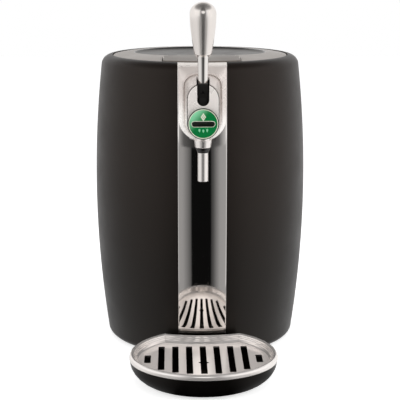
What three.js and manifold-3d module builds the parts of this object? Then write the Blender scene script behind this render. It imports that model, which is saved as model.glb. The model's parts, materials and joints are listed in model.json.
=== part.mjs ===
// Mini keg beer dispenser: a cooled barrel with a tap on a chrome column and a drip tray at its foot.
// Millimetres, +Z up, the tap faces -Y. The barrel's own axis is x = 0, y = 0 while the pieces are made,
// and the whole group is then moved so that the origin lies under the middle of the object's box.
import * as THREE from "three";
import { mergeVertices } from "three/addons/utils/BufferGeometryUtils.js";
import Module from "manifold-3d";

const wasm = await Module();
wasm.setup();

// Clearances
const fitGap = 0.3; // between pieces that are screwed or clipped together
const runGap = 0.6; // between pieces that move past each other
const overrun = 1; // how far a cut reaches past the face that it opens

// Barrel
const barrelRadius = 138.6;
const barrelWaistLevel = 205; // where the barrel is widest
const barrelArcRadius = 1390; // of the long curve of its side
const barrelTop = 378;
const barrelBottom = 2.5;
const shoulderWidth = 14.5;
const shoulderHeight = 13;
const bottomRound = 8.5;
const shellWall = 3;
const seamDepth = 6;
const seamGap = 0.9; // round the lid
const lipWall = 2.2;

// Base and feet
const basePlate = 3;
const baseRimHeight = 16;
const baseRimWall = 2.5;
const footRadius = 9;
const footSink = 2;
const footChamfer = 1;
const footInset = 46.6; // from the barrel's widest place to the feet's circle
const footCircle = barrelRadius - footInset;
const footAngles = [45, 135, 225, 315];

// Chrome column on the front
const stripHalfWidth = 30;
const stripTop = 377.4;
const stripBottom = 35.3;
const stripWall = 2.2;
const stripProud = 0.7;
const columnHalfWidth = 26;
const columnDepth = 26.6; // how deep the channel reaches into the barrel
const columnReach = barrelRadius - columnDepth; // from the barrel's axis to its back wall
const columnWall = 2.5;
const columnTop = 352;
const windowHalfWidth = 16;
const windowBottom = 293;
const windowTop = 361;

// Tap: the handle, its lever, the valve and the spout stand on one upright line
const tapProud = 24.4; // of the tap's line over the barrel's widest place
const plateProud = 13; // of the slotted plate over the tap's line
const noseShoulderInset = 11; // from the tap's line back to the nose's shoulder
const noseFlankInset = 21;
const noseRootInset = 29;
const tapReach = barrelRadius + tapProud; // from the barrel's axis to that line
const plateReach = tapReach + plateProud; // from the barrel's axis to the front of the slotted plate
const noseShoulderReach = tapReach - noseShoulderInset;
const noseFlankReach = tapReach - noseFlankInset;
const noseFlankHalf = 26.4;
const noseFlankTop = 371.5;
const noseRootReach = tapReach - noseRootInset;
const noseRootHalf = 29.6;
const noseWall = 2.4;
const archSquareness = 0.35; // of an arch that is almost square, where 1 is a half round
const archShares = [0, 0.35, 0.8, 1]; // how round the nose's top is, from its root to its front
const noseTop = 359.8;
const noseShoulderTop = 367.5;
const noseRootTop = 375.2;
const noseShoulderHalf = 21.8;
const noseFrontHalf = 19.6;
const noseRootLevel = 313;
const plateHalfWidth = 18.2;
const plateTop = 358;
const plateThickness = 1.6;
const slotHalfWidth = 7.2;
const slotBottom = 332;
const badgeLevel = 311.5;
const badgeRadius = 18.5;
const badgeDepth = 4.2;
const badgeRimWidth = 0.8;
const badgeDomeRise = 1.1;

// Lever and handle
const pivotLevel = 325;
const pivotRadius = 3;
const pivotHalfLength = 19.3;
const hubRadius = 8;
const leverHalfWidth = 6.2;
const leverArm = 4.2; // half the thickness of the upright arm
const lobeReach = 12;
const lobeRadius = 3.5;
const wedgeHalfWidth = 5.6;
const wedgeRadius = 34;
const wedgeAngle = 15;
const handleBottom = 346;
const handleLength = 107;
const handleTop = handleBottom + handleLength;
const handleWidest = 15.8;
const widestShare = 0.874; // of the handle's length, up from its foot, where it is widest
const handleWidestLevel = handleBottom + widestShare * handleLength;
const handleTaperRadius = 10.8;
const taperShare = 0.444; // of the handle's length, where its taper begins
const handleTaperLevel = handleBottom + taperShare * handleLength;
const taperPower = 1.15; // of the sine along which the handle widens
const stemTopRadius = 7;
const stemTopShare = 0.402;
const stemTopLevel = handleBottom + stemTopShare * handleLength;
const stemBottomRadius = 6.2;
const stemFlareShare = 0.196;
const stemFlareLevel = handleBottom + stemFlareShare * handleLength;
const studRadius = 2.4;
const studLength = 14;

// Valve and spout
const valveHalfWidth = 9;
const valveTop = 312;
const valveBottom = 297.2;
const valveProud = 7; // of the valve block over the tap's line
const valveFront = tapReach + valveProud;
const boreRadius = 4.2;
const sliderRadius = 2.7;
const sliderHeadRadius = 5;
const sliderHeadHeight = 3;
const sliderFoot = 301;
const coneTopRadius = 11.2;
const coneBottomRadius = 10;
const coneNeckRadius = 8.8;
const coneNeckHeight = 6.8;
const coneTop = valveBottom - fitGap - coneNeckHeight;
const coneHeight = 9.1;
const coneBottom = coneTop - coneHeight;
const collarTopRadius = 9;
const collarBottomRadius = 7.2;
const collarHeight = 5.9;
const collarBottom = coneBottom - fitGap - collarHeight;
const tubeRadius = 7;
const tubeHeight = 34.7;
const tubeBottom = collarBottom - fitGap - tubeHeight;

// Keg well and the insulation round it
const foamInset = 31.6; // from the barrel's widest place to the insulation
const foamRadius = barrelRadius - foamInset;
const foamWall = 20;
const wellRadius = foamRadius - foamWall;

// Lid
const lidEdge = 377.3;
const lidCrown = 382;
const lidRound = 1.4;
const lidUnderside = 375.5;
const lidSkirtBottom = 366;
const lidSkirtWall = 2.5;
const dishInset = 25.9; // from the seam to the dish at the sides
const dishLatchGap = 5; // from the latch to the dish
const dishFloor = 378.6;
const dishSlope = 7;
const linerLap = 9; // of the liner over the well's mouth
const linerHubGap = 5; // from the dish to the liner's hub
const linerRadius = wellRadius + linerLap;
const linerBottom = 364.2;
const linerThickness = 2.5;
const sealLap = 5;
const sealWidth = 3.5;
const sealInner = wellRadius + sealLap;
const sealOuter = sealInner + sealWidth;
const hingeProud = 5.1; // of the hinge's axis over the seam
const hingeLevel = 375;
const hingePinRadius = 1.3;
const hingePinHalfLength = 38;
const hingeCoverHalfWidth = 41;
const knuckleRadius = 2.4;
const knuckleWidth = 8;
const knucklePlace = 28;

// Latch in the front of the lid
const latchHalfWidth = 48;
const latchBackGap = 5; // from the pivot to the tab's back edge
const latchCorner = 7;
const latchRise = 1.8; // above the lid round it
const latchThickness = 3.2;
const latchSeat = 371;
const latchArm = 26; // from the pivot to the hook
const latchPivotRadius = 1.2;
const latchPivotLevel = 377.9;
const latchBossRadius = 2.6;
const latchPinOverhang = 3;
const hookHalfWidth = 9;
const hookInset = 11.9; // from the seam to the hook
const hookThickness = 3;
const hookBottom = 354.5;
const hookNose = 3;
const hookGap = 1.5;

// Deck, keg well and insulation
const deckTop = 361.5;
const deckThickness = 3;
const deckClear = 3; // round the well's mouth
const deckInner = wellRadius + deckClear;
const collarWall = 2;
const wellWall = 1.4;
const wellFloor = 96;
const wellTop = 362.6;
const wellFlange = 4.5;
const foamTop = 352;
const foamBottom = 80;
const ribInset = 7;
const ribRadius = foamRadius - ribInset; // radius of the deck's lower rib
const ribWall = 2;
const chassisInset = 8;
const chassisRadius = foamRadius - chassisInset;
const chassisWall = 3;
const chassisArchHalf = 32;
const chassisArchTop = 62;

// Cooler at the back of the well
const coldHalfWidth = 28;
const coldBottom = 140;
const coldHeight = 74;
const coldProud = 4; // of the cold block over the insulation
const coldReach = foamRadius + coldProud;
const pelletHalfWidth = 20;
const pelletThickness = 3.6;
const sinkHalfWidth = 45;
const sinkHeight = 110;
const sinkBase = 5;
const sinkDepth = 24.8; // plate and fins together
const sinkReach = coldReach + 2 * fitGap + pelletThickness + sinkDepth;
const finCount = 13;
const finThickness = 1.4;
const fanHalfWidth = 40;
const fanBoreRadius = 37.5;
const fanHubRadius = 13.5;
const fanHubWall = 1.6;
const fanBladeRadius = 36;
const fanBladeCount = 7;
const fanBladeThickness = 1.2;
const fanBladePitch = 38;
const fanMotorRadius = 11;
const fanStrutWidth = 4;
const fanStrutAngles = [0, 120, 240];
const fanShaftRadius = 1.6;

// Rear cover with its louvres, mains inlet and switch
const coverHalfWidth = 74;
const coverWall = 2.5;
const fanDepth = 20.4;
const coverReach = sinkReach + 2 * fitGap + fanDepth + coverWall;
const coverBottom = 19.8;
const coverTop = 322;
const coverCorner = 12;
const coverInset = 48.6; // from the barrel's widest place to the cover's front edge
const coverFront = barrelRadius - coverInset;
const coverShoulder = 296;
const coverSlope = 26.5; // how far the sloping top leans in
const coverTopReach = coverReach - coverSlope;
const louvreCount = 13;
const louvrePitch = 9;
const louvreGap = 4.6;
const louvreHalfWidth = 46;
const louvreBottomLevel = 122;
const inletHalfWidth = 13.5;
const inletHalfHeight = 10;
const inletLevel = 44;
const inletPlace = -34;
const inletDepth = 17;
const inletFlange = 3;
const pinHalfWidth = 1;
const switchHalfWidth = 6.5;
const switchHalfHeight = 9.5;
const switchPlace = 34;
const switchAngle = 12;
const rockerInset = 4.5; // from the cover's back to the rocker's axis

// Board under the well
const boardHalfWidth = 45;
const boardDepth = 70;
const boardLevel = 24;
const boardThickness = 1.6;
const boardPostRadius = 3;
const boardPostInset = 7;
const transformerSize = 26;
const capacitorRadius = 6;
const capacitorHeight = 18;

// Drip tray and grille: an ellipse, cut by the round of the barrel
const trayProud = 61.4; // of the ellipse's centre over the barrel's widest place
const trayTuck = 5; // of the tray under the barrel's widest place
const trayCentreReach = barrelRadius + trayProud;
const trayHalfWidth = 90;
const trayFrontDepth = 77.8;
const trayBackDepth = 89;
const trayCutRadius = barrelRadius - trayTuck;
const trayRimTop = 35;
const trayRimBottom = 28;
const trayWall = 2.4;
const trayFloor = 3;
const traySwellPower = 1.82; // of the curve along which the wall swells
const trayOuterShares = [0, 0.08, 0.3, 0.6, 1]; // of the wall's height, at each ring of its outer face
const trayInnerShares = [1, 0.6, 0.3, 0.12];
const trayFreeShare = 0.8; // of the outline's points, those that lie on its two half ellipses
const footHalfWidth = 58;
const footFrontDepth = 52;
const footBackDepth = 78;
const grilleLevel = 25.4;
const grilleThickness = 2;
const grilleRim = 5.2;
const grilleSlope = 4;
const grilleFillet = 6.4; // from the rim's inner edge to the floor
const grilleCheekShare = 0.6; // of the rim's height that is upright
const grilleCheekDrop = 0.52; // of the rim's outer round under its top
const rimInnerDrop = 1.3;
const slotPitch = 17.1;
const longSlotWidth = 7.8;
const slotCount = 7;
const slotBackInset = 45; // from the ellipse's centre, backward
const slotFrontMargin = 31.8; // from the tray's front edge
const slotBackReach = trayCentreReach - slotBackInset;
const slotFrontReach = trayCentreReach + trayFrontDepth - slotFrontMargin;
const slotFrontShares = [0, 0.0055, 0.055, 0.154]; // of its length, how much shorter each next slot is
const shortSlotPlace = 68;
const shortSlotInset = 19;
const shortSlotBack = trayCentreReach - shortSlotInset;
const notchProud = 8;
const shortSlotFront = trayCentreReach + notchProud;
const notchReach = trayCentreReach + notchProud;
const notchDepth = 3;
const tongueHalfWidth = 22;
const tongueLength = 26;
const tongueBottom = 0.6;
const tongueThickness = 1.4;

// Fineness of the round forms
const barrelSteps = 44;
const outerFineness = [7, 4]; // points along the barrel's side and along each of its rounds
const innerFineness = [5, 3];
const trayPoints = 40;
const ringSteps = 28;
const smallSteps = 16;
const handleSteps = 24;
const nosePoints = 32;
const capsuleSteps = 9;
const domeSteps = 7;
const ballSteps = 8;
const taperSteps = 5;
const cornerSteps = 4;
const pinSteps = 12;
const slotCornerSteps = 2;
const cornerHalvings = 40; // in the search for the tray's corner

// Materials
const finish = (color, roughness, metalness) =>
  new THREE.MeshStandardMaterial({ color, roughness, metalness });
const satinBlack = finish(0x24211f, 0.5, 0);
const softGrey = finish(0x6f6a66, 0.45, 0);
const chrome = finish(0xd4cfcc, 0.12, 1);
const matteBlack = finish(0x15120f, 0.6, 0);
const rubber = finish(0x101010, 0.85, 0);
const enamel = finish(0x00753a, 0.25, 0);
const aluminium = finish(0xb9bbbd, 0.35, 1);
const steel = finish(0x9a9b9d, 0.3, 1);
const foam = finish(0xe9e7e0, 0.9, 0);
const ceramic = finish(0xf2f0ea, 0.6, 0);
const circuitGreen = finish(0x1c5a33, 0.55, 0);

// Turns a closed geometry into a solid, facing outwards whichever way its faces ran.
function solid(geometry) {
  const bare = geometry.index ? geometry.toNonIndexed() : geometry.clone();
  bare.deleteAttribute("normal");
  bare.deleteAttribute("uv");
  const merged = mergeVertices(bare);
  const points = merged.getAttribute("position").array;
  const corners = merged.index.array;
  const kept = [];
  let volume = 0;
  const a = new THREE.Vector3();
  const b = new THREE.Vector3();
  const c = new THREE.Vector3();
  for (let i = 0; i < corners.length; i += 3) {
    const [p, q, r] = [corners[i], corners[i + 1], corners[i + 2]];
    if (p === q || q === r || r === p) continue;
    a.fromArray(points, 3 * p);
    b.fromArray(points, 3 * q);
    c.fromArray(points, 3 * r);
    volume += a.dot(b.cross(c));
    kept.push(p, q, r);
  }
  if (volume < 0) {
    for (let i = 0; i < kept.length; i += 3) [kept[i], kept[i + 1]] = [kept[i + 1], kept[i]];
  }
  const mesh = new wasm.Mesh({
    numProp: 3,
    vertProperties: new Float32Array(points),
    triVerts: new Uint32Array(kept),
  });
  return new wasm.Manifold(mesh);
}

// Puts a solid into a named mesh with its material.
function piece(name, shape, material) {
  const mesh = shape.getMesh();
  const geometry = new THREE.BufferGeometry();
  geometry.setAttribute("position", new THREE.BufferAttribute(new Float32Array(mesh.vertProperties), 3));
  geometry.setIndex(new THREE.BufferAttribute(new Uint32Array(mesh.triVerts), 1));
  geometry.computeVertexNormals();
  const result = new THREE.Mesh(geometry, material);
  result.name = name;
  return result;
}

// A solid of revolution about the upright axis, from points [radius, level].
function turned(profile, steps) {
  const points = profile.map(([r, z]) => new THREE.Vector2(r, z));
  return solid(new THREE.LatheGeometry(points, steps).rotateX(Math.PI / 2));
}

// A ring of revolution whose profile closes on itself.
function ring(profile, steps) {
  return turned([...profile, profile[0]], steps);
}

// A box between two corners.
function block([x0, y0, z0], [x1, y1, z1]) {
  const geometry = new THREE.BoxGeometry(x1 - x0, y1 - y0, z1 - z0);
  return solid(geometry.translate((x0 + x1) / 2, (y0 + y1) / 2, (z0 + z1) / 2));
}

// A round bar along x, y or z from one place to another, through the two other coordinates given.
function bar(axis, radius, from, to, [u, v], steps = smallSteps) {
  const geometry = new THREE.CylinderGeometry(radius, radius, to - from, steps);
  if (axis === "x") return solid(geometry.rotateZ(Math.PI / 2).translate((from + to) / 2, u, v));
  if (axis === "y") return solid(geometry.translate(u, (from + to) / 2, v));
  return solid(geometry.rotateX(Math.PI / 2).translate(u, v, (from + to) / 2));
}

// A flat outline in x and y, raised from one level to another.
function raised(outline, low, high) {
  const shape = new THREE.Shape(outline.map(([x, y]) => new THREE.Vector2(x, y)));
  const geometry = new THREE.ExtrudeGeometry(shape, { depth: high - low, bevelEnabled: false });
  return solid(geometry.translate(0, 0, low));
}

// A flat outline in x and z, run along y from one place to another.
function run(outline, front, back) {
  const shape = new THREE.Shape(outline.map(([x, z]) => new THREE.Vector2(x, z)));
  const geometry = new THREE.ExtrudeGeometry(shape, { depth: back - front, bevelEnabled: false });
  return solid(geometry.rotateX(Math.PI / 2).translate(0, back, 0));
}

// A flat outline in y and z, run along x to both sides of the middle.
function across(outline, left, right) {
  const shape = new THREE.Shape(outline.map(([y, z]) => new THREE.Vector2(y, z)));
  const geometry = new THREE.ExtrudeGeometry(shape, { depth: right - left, bevelEnabled: false });
  const turn = new THREE.Matrix4().set(0, 0, 1, left, 1, 0, 0, 0, 0, 1, 0, 0, 0, 0, 0, 1);
  return solid(geometry.applyMatrix4(turn));
}

// A solid through rings of points [x, y, z] with as many points each, closed by a fan at both ends.
function lofted(rings) {
  const count = rings[0].length;
  const middle = (points) => [0, 1, 2].map((k) => points.reduce((sum, p) => sum + p[k], 0) / count);
  const points = [...rings.flat(), middle(rings[0]), middle(rings[rings.length - 1])];
  const corners = [];
  for (let i = 0; i < count; i += 1) {
    const j = (i + 1) % count;
    for (let k = 0; k + 1 < rings.length; k += 1) {
      const low = k * count;
      const high = low + count;
      corners.push(low + i, low + j, high + j, low + i, high + j, high + i);
    }
    const last = (rings.length - 1) * count;
    corners.push(points.length - 2, j, i, points.length - 1, last + i, last + j);
  }
  const geometry = new THREE.BufferGeometry();
  geometry.setAttribute("position", new THREE.BufferAttribute(new Float32Array(points.flat()), 3));
  geometry.setIndex(corners);
  return solid(geometry);
}

const join = (first, ...others) => others.reduce((sum, next) => sum.add(next), first);
const cut = (first, ...others) => others.reduce((rest, next) => rest.subtract(next), first);
const radians = (degrees) => (degrees * Math.PI) / 180;
const steps = (count, make) => Array.from({ length: count + 1 }, (_, i) => make(i / count));

const columnBottom = barrelBottom + fitGap + baseRimHeight + fitGap;

// The barrel's side is one long curve, with a round shoulder above and a round edge below.
const barrelSide = (level) => barrelRadius - (level - barrelWaistLevel) ** 2 / (2 * barrelArcRadius);
const shoulderLevel = barrelTop - shoulderHeight;
const seamRadius = barrelSide(shoulderLevel) - shoulderWidth;
const lidRadius = seamRadius - seamGap;
const hingeReach = seamRadius + hingeProud;
const hookReach = seamRadius - hookInset;
const latchPivotReach = hookReach - latchArm;
const latchBackReach = latchPivotReach - latchBackGap;
const dishHalfWidth = seamRadius - dishInset;
const dishHalfDepth = latchBackReach - dishLatchGap;
const linerHubRadius = dishHalfDepth - linerHubGap;
const bottomLevel = barrelBottom + bottomRound;
const bottomRadius = barrelSide(bottomLevel) - bottomRound;

// The barrel's outline from the bottom edge to the lid's seam, drawn in by an inset.
function barrelOutline(inset, [sideSteps, roundSteps] = outerFineness) {
  const bottom = steps(roundSteps, (t) => {
    const angle = radians(90 * (t - 1));
    const reach = bottomRound - inset;
    return [bottomRadius + reach * Math.cos(angle), bottomLevel + reach * Math.sin(angle)];
  });
  const side = steps(sideSteps, (t) => {
    const level = bottomLevel + t * (shoulderLevel - bottomLevel);
    return [barrelSide(level) - inset, level];
  });
  const shoulder = steps(roundSteps, (t) => {
    const angle = radians(90 * t);
    const reach = (shoulderWidth - inset) * Math.cos(angle);
    return [seamRadius + reach, shoulderLevel + (shoulderHeight - inset) * Math.sin(angle)];
  });
  return [...bottom, ...side.slice(1, -1), ...shoulder];
}

// The whole barrel as one full solid, grown by a margin, to trim what lies against it.
function barrelSolid(margin) {
  const outline = barrelOutline(-margin);
  return turned([[0, outline[0][1]], ...outline, [0, outline[outline.length - 1][1]]], barrelSteps);
}

// Both side shells are one ring of revolution, parted at the chrome column and at the rear cover.
function sideShells() {
  const outside = barrelOutline(0);
  const inside = barrelOutline(shellWall, innerFineness).filter(
    ([r, z]) => z < shoulderLevel || r > seamRadius + lipWall,
  );
  const lip = [
    [seamRadius, barrelTop - seamDepth],
    [seamRadius + lipWall, barrelTop - seamDepth],
    [seamRadius + lipWall, barrelTop - shellWall],
  ];
  const whole = ring([...outside, ...lip, ...inside.reverse()], barrelSteps);
  const far = 2 * barrelRadius;
  const frontGap = block(
    [-stripHalfWidth - fitGap, -far, 0],
    [stripHalfWidth + fitGap, 0, barrelTop + overrun],
  );
  const rearGap = block(
    [-coverHalfWidth - fitGap, 0, coverBottom - fitGap],
    [coverHalfWidth + fitGap, far, coverTop + fitGap],
  );
  const hingeGap = block(
    [-hingeCoverHalfWidth - fitGap, 0, barrelTop - seamDepth],
    [hingeCoverHalfWidth + fitGap, far, barrelTop + overrun],
  );
  const open = cut(whole, frontGap, rearGap, hingeGap);
  const half = block([fitGap / 2, -far, 0], [far, far, barrelTop + overrun]);
  return { left: open.intersect(half.scale([-1, 1, 1])), right: open.intersect(half) };
}

// Base pan with an upright rim, closing the barrel from below.
function basePan() {
  const outer = bottomRadius - fitGap;
  const low = barrelBottom + fitGap;
  const floor = low + basePlate;
  const pan = turned(
    [
      [0, low],
      [outer, low],
      [outer, low + baseRimHeight],
      [outer - baseRimWall, low + baseRimHeight],
      [outer - baseRimWall, floor],
      [0, floor],
    ],
    barrelSteps,
  );
  const ceiling = barrelBottom + footSink + fitGap;
  const sockets = footPlaces().map((place) => bar("z", footRadius + fitGap, 0, ceiling, place));
  const cups = footPlaces().map((place) => bar("z", footRadius + basePlate, low, ceiling + basePlate, place));
  const posts = boardCorners().map((place) => bar("z", boardPostRadius, low, boardLevel - fitGap, place));
  return cut(join(pan, ...cups, ...posts), ...sockets);
}

const boardCorners = () => {
  const x = boardHalfWidth - boardPostInset;
  const y = boardDepth / 2 - boardPostInset;
  return [[x, y], [-x, y], [-x, -y], [x, -y]];
};

const footPlaces = () =>
  footAngles.map((angle) => [
    footCircle * Math.cos(radians(angle)),
    footCircle * Math.sin(radians(angle)),
  ]);

// Rubber foot with a chamfered sole, pressed into its socket in the base pan.
function foot([x, y]) {
  const top = barrelBottom + footSink;
  const profile = [
    [0, 0],
    [footRadius - footChamfer, 0],
    [footRadius, footChamfer],
    [footRadius, top],
    [0, top],
  ];
  return turned(profile, smallSteps).translate(x, y, 0);
}

// Chrome strip: a slice of a thin turned skin that lies just proud of the barrel.
function chromeStrip() {
  const outside = barrelOutline(-stripProud);
  const inside = barrelOutline(stripWall - stripProud);
  const skin = ring([...outside, ...inside.reverse()], barrelSteps);
  const slice = block([-stripHalfWidth, -2 * barrelRadius, stripBottom], [stripHalfWidth, 0, stripTop]);
  const window = block([-windowHalfWidth, -2 * barrelRadius, windowBottom], [windowHalfWidth, 0, windowTop]);
  const lidRoom = bar(
    "z",
    lidRadius + seamGap,
    lidEdge - seamDepth,
    barrelTop + overrun,
    [0, 0],
    barrelSteps,
  );
  return cut(skin.intersect(slice), window, lidRoom);
}

// Black channel behind the strip. It stands on the base pan's rim and carries the strip, the nose and the
// valve.
function frontColumn() {
  const skin = -stripProud + stripWall + fitGap;
  const outside = barrelSolid(-skin);
  const outer = block(
    [-columnHalfWidth, -barrelRadius, columnBottom],
    [columnHalfWidth, -columnReach, columnTop],
  );
  const width = columnHalfWidth - columnWall;
  const hollow = block(
    [-width, -2 * barrelRadius, columnBottom + columnWall],
    [width, -columnReach - columnWall, columnTop - columnWall],
  );
  const beerLine = block(
    [-boreRadius - columnWall, -2 * barrelRadius, pivotLevel + hubRadius],
    [boreRadius + columnWall, 0, columnTop + overrun],
  );
  return cut(outer.intersect(outside), hollow, beerLine);
}

// One upright cross-section of the nose: a soft arch above, straight flanks and a half round below.
function noseSection(reach, half, top, low, archShare, inset) {
  const arch = archSquareness + (1 - archSquareness) * archShare;
  const shoulder = top - inset - (half - inset) * arch;
  return steps(nosePoints, (t) => {
    const angle = 2 * Math.PI * t;
    const upper = Math.sin(angle) > 0;
    const power = upper ? arch : 1;
    const bend = (value) => Math.sign(value) * Math.abs(value) ** power;
    const x = (half - inset) * bend(Math.cos(angle));
    const rise = upper ? top - inset - shoulder : half - inset;
    const z = (upper ? shoulder : low) + rise * bend(Math.sin(angle));
    return [x, -reach, z];
  }).slice(0, -1);
}

// The nose swells out of the strip to a rounded snout. The same sections, drawn in, make its hollow.
function noseBody(inset, front, root) {
  const drop = noseRootLevel - badgeLevel;
  const shoulderLow = badgeLevel + drop / 2;
  const [rootArch, flankArch, shoulderArch, frontArch] = archShares;
  return lofted([
    noseSection(root, noseRootHalf, noseRootTop, noseRootLevel, rootArch, inset),
    noseSection(noseRootReach, noseRootHalf, noseRootTop, noseRootLevel, rootArch, inset),
    noseSection(noseFlankReach, noseFlankHalf, noseFlankTop, noseRootLevel - drop / 4, flankArch, inset),
    noseSection(noseShoulderReach, noseShoulderHalf, noseShoulderTop, shoulderLow, shoulderArch, inset),
    noseSection(front, noseFrontHalf, noseTop, badgeLevel, frontArch, inset),
  ]);
}

const noseFront = plateReach - plateThickness - fitGap;

function tapNose() {
  const root = columnReach + columnWall;
  const outer = cut(noseBody(0, noseFront, root), barrelSolid(stripProud + fitGap));
  const hollow = noseBody(noseWall, noseFront - noseWall, root - overrun);
  const stemRoom = slotHalfWidth + runGap;
  const back = tapReach - stemTopRadius - runGap;
  const low = slotBottom - leverArm / 2 - runGap; // lets the lever's arm swing forward
  const opening = block([-stemRoom, -plateReach, low], [stemRoom, -back, noseRootTop]);
  const spoutHole = bar(
    "z",
    coneNeckRadius + fitGap,
    noseRootLevel - 2 * noseRootHalf,
    badgeLevel,
    [0, -tapReach],
  );
  const pinHole = bar(
    "x",
    pivotRadius + fitGap,
    -pivotHalfLength - fitGap,
    pivotHalfLength + fitGap,
    [-tapReach, pivotLevel],
  );
  return cut(outer, hollow, opening, spoutHole, pinHole);
}

// A flat capsule with a round top and a round foot about the badge's centre.
function capsule(half, top, low, front, back) {
  const arc = (centre, from) =>
    steps(capsuleSteps, (t) => {
      const angle = radians(from + 180 * t);
      return [half * Math.cos(angle), centre + half * Math.sin(angle)];
    });
  return run([...arc(top - half, 0), ...arc(low, 180)], -front, -back);
}

function tapPlate() {
  const plate = capsule(plateHalfWidth, plateTop, badgeLevel, plateReach, plateReach - plateThickness);
  const slot = capsule(
    slotHalfWidth,
    plateTop + 2 * slotHalfWidth,
    slotBottom + slotHalfWidth,
    plateReach + overrun,
    plateReach - plateThickness - overrun,
  );
  return cut(plate, slot);
}

// Badge: a turned cup with a thin rim, and the enamel dome that lies in it.
const badgeBack = plateReach + fitGap;

function facingFront(shape, reach, level) {
  return shape.rotate([90, 0, 0]).translate(0, -reach, level);
}

function badgeRing() {
  const inner = badgeRadius - badgeRimWidth;
  const floor = badgeRimWidth;
  const profile = [
    [0, 0],
    [badgeRadius - badgeRimWidth / 2, 0],
    [badgeRadius, badgeRimWidth / 2],
    [badgeRadius, badgeDepth - badgeRimWidth / 2],
    [badgeRadius - badgeRimWidth / 2, badgeDepth],
    [inner, badgeDepth],
    [inner, floor],
    [0, floor],
  ];
  return facingFront(turned(profile, ringSteps), badgeBack, badgeLevel);
}

function badgeDome() {
  const outer = badgeRadius - badgeRimWidth - fitGap;
  const floor = badgeRimWidth + fitGap;
  const edge = badgeDepth - badgeDomeRise;
  const dome = steps(cornerSteps, (t) => {
    const angle = radians(90 * t);
    return [outer * Math.cos(angle), edge + badgeDomeRise * Math.sin(angle)];
  });
  return facingFront(turned([[0, floor], [outer, floor], ...dome], ringSteps), badgeBack, badgeLevel);
}

// The lever turns on its pin. Its black wedge fills the slot, two lobes behind lift the valve's slider.
function leverBody() {
  const hub = bar("x", hubRadius, -leverHalfWidth, leverHalfWidth, [-tapReach, pivotLevel]);
  const stand = handleBottom - fitGap;
  const arm = block([-leverArm, -tapReach - leverArm, pivotLevel], [leverArm, -tapReach + leverArm, stand]);
  const stud = bar("z", studRadius, pivotLevel, stand + studLength, [0, -tapReach]);
  const rim = (angle) => [
    -tapReach - wedgeRadius * Math.sin(radians(angle)),
    pivotLevel + wedgeRadius * Math.cos(radians(angle)),
  ];
  const wedge = across(
    [[-tapReach, pivotLevel], rim(0), rim(wedgeAngle / 2), rim(wedgeAngle)],
    -wedgeHalfWidth,
    wedgeHalfWidth,
  );
  const stemRoom = bar("z", stemBottomRadius + fitGap, handleBottom - fitGap, handleTop, [0, -tapReach]);
  const lobe = join(
    block(
      [-leverHalfWidth, -tapReach, pivotLevel - lobeRadius],
      [leverHalfWidth, -tapReach + lobeReach, pivotLevel + lobeRadius],
    ),
    bar("x", lobeRadius, -leverHalfWidth, leverHalfWidth, [-tapReach + lobeReach, pivotLevel]),
  );
  const rodHalf = sliderRadius + runGap;
  const rodRoom = block(
    [-rodHalf, -tapReach + hubRadius, pivotLevel - hubRadius],
    [rodHalf, -tapReach + lobeReach + hubRadius, pivotLevel + hubRadius],
  );
  const pinRoom = bar("x", pivotRadius + fitGap, -tapReach, tapReach, [-tapReach, pivotLevel]);
  return cut(join(hub, arm, cut(wedge, stemRoom), lobe, stud), rodRoom, pinRoom);
}

// Teardrop handle with a threaded hole for the lever's stud.
function tapHandle() {
  const ball = steps(ballSteps, (t) => {
    const angle = radians(90 * t);
    const rise = handleTop - handleWidestLevel;
    return [handleWidest * Math.cos(angle), handleWidestLevel + rise * Math.sin(angle)];
  });
  const taper = steps(taperSteps, (t) => {
    const swell = Math.sin(radians(90 * t)) ** taperPower;
    const radius = handleTaperRadius + (handleWidest - handleTaperRadius) * swell;
    return [radius, handleTaperLevel + t * (handleWidestLevel - handleTaperLevel)];
  });
  const hole = studRadius + fitGap;
  const holeTop = handleBottom + studLength + fitGap;
  const profile = [
    [0, holeTop],
    [hole, holeTop],
    [hole, handleBottom],
    [stemBottomRadius, handleBottom],
    [stemBottomRadius, stemFlareLevel],
    [stemTopRadius, stemTopLevel],
    ...taper.slice(0, -1),
    ...ball,
  ];
  return turned(profile, handleSteps).translate(0, -tapReach, 0);
}

function leverPin() {
  return bar("x", pivotRadius, -pivotHalfLength, pivotHalfLength, [-tapReach, pivotLevel]);
}

// Valve block on a bracket that reaches back through the strip to the column.
function valveBlock() {
  const back = columnReach + columnWall + fitGap;
  const body = block([-valveHalfWidth, -valveFront, valveBottom], [valveHalfWidth, -back, valveTop]);
  const bore = bar("z", boreRadius, valveBottom - overrun, valveTop + overrun, [0, -tapReach]);
  const guide = bar(
    "z",
    sliderRadius + fitGap,
    sliderFoot - fitGap,
    valveTop + overrun,
    [0, -tapReach + lobeReach],
  );
  const hubRoom = bar("x", hubRadius + runGap, -tapReach, tapReach, [-tapReach, pivotLevel]);
  return cut(body, bore, guide, hubRoom);
}

function valveSlider() {
  const head = pivotLevel + lobeRadius + runGap;
  const profile = [
    [0, sliderFoot],
    [sliderRadius, sliderFoot],
    [sliderRadius, head],
    [sliderHeadRadius, head],
    [sliderHeadRadius, head + sliderHeadHeight],
    [0, head + sliderHeadHeight],
  ];
  return turned(profile, smallSteps).translate(0, -tapReach + lobeReach, 0);
}

// Spout: cone, black collar and tube, one below the other, with one bore through them all.
const spoutPiece = (profile) => ring(profile, handleSteps).translate(0, -tapReach, 0);

const spoutCone = () =>
  spoutPiece([
    [boreRadius, coneBottom],
    [coneBottomRadius, coneBottom],
    [coneTopRadius, coneTop],
    [coneNeckRadius, coneTop],
    [coneNeckRadius, valveBottom - fitGap],
    [boreRadius, valveBottom - fitGap],
  ]);

const spoutCollar = () =>
  spoutPiece([
    [boreRadius, collarBottom],
    [collarBottomRadius, collarBottom],
    [collarTopRadius, coneBottom - fitGap],
    [boreRadius, coneBottom - fitGap],
  ]);

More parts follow.
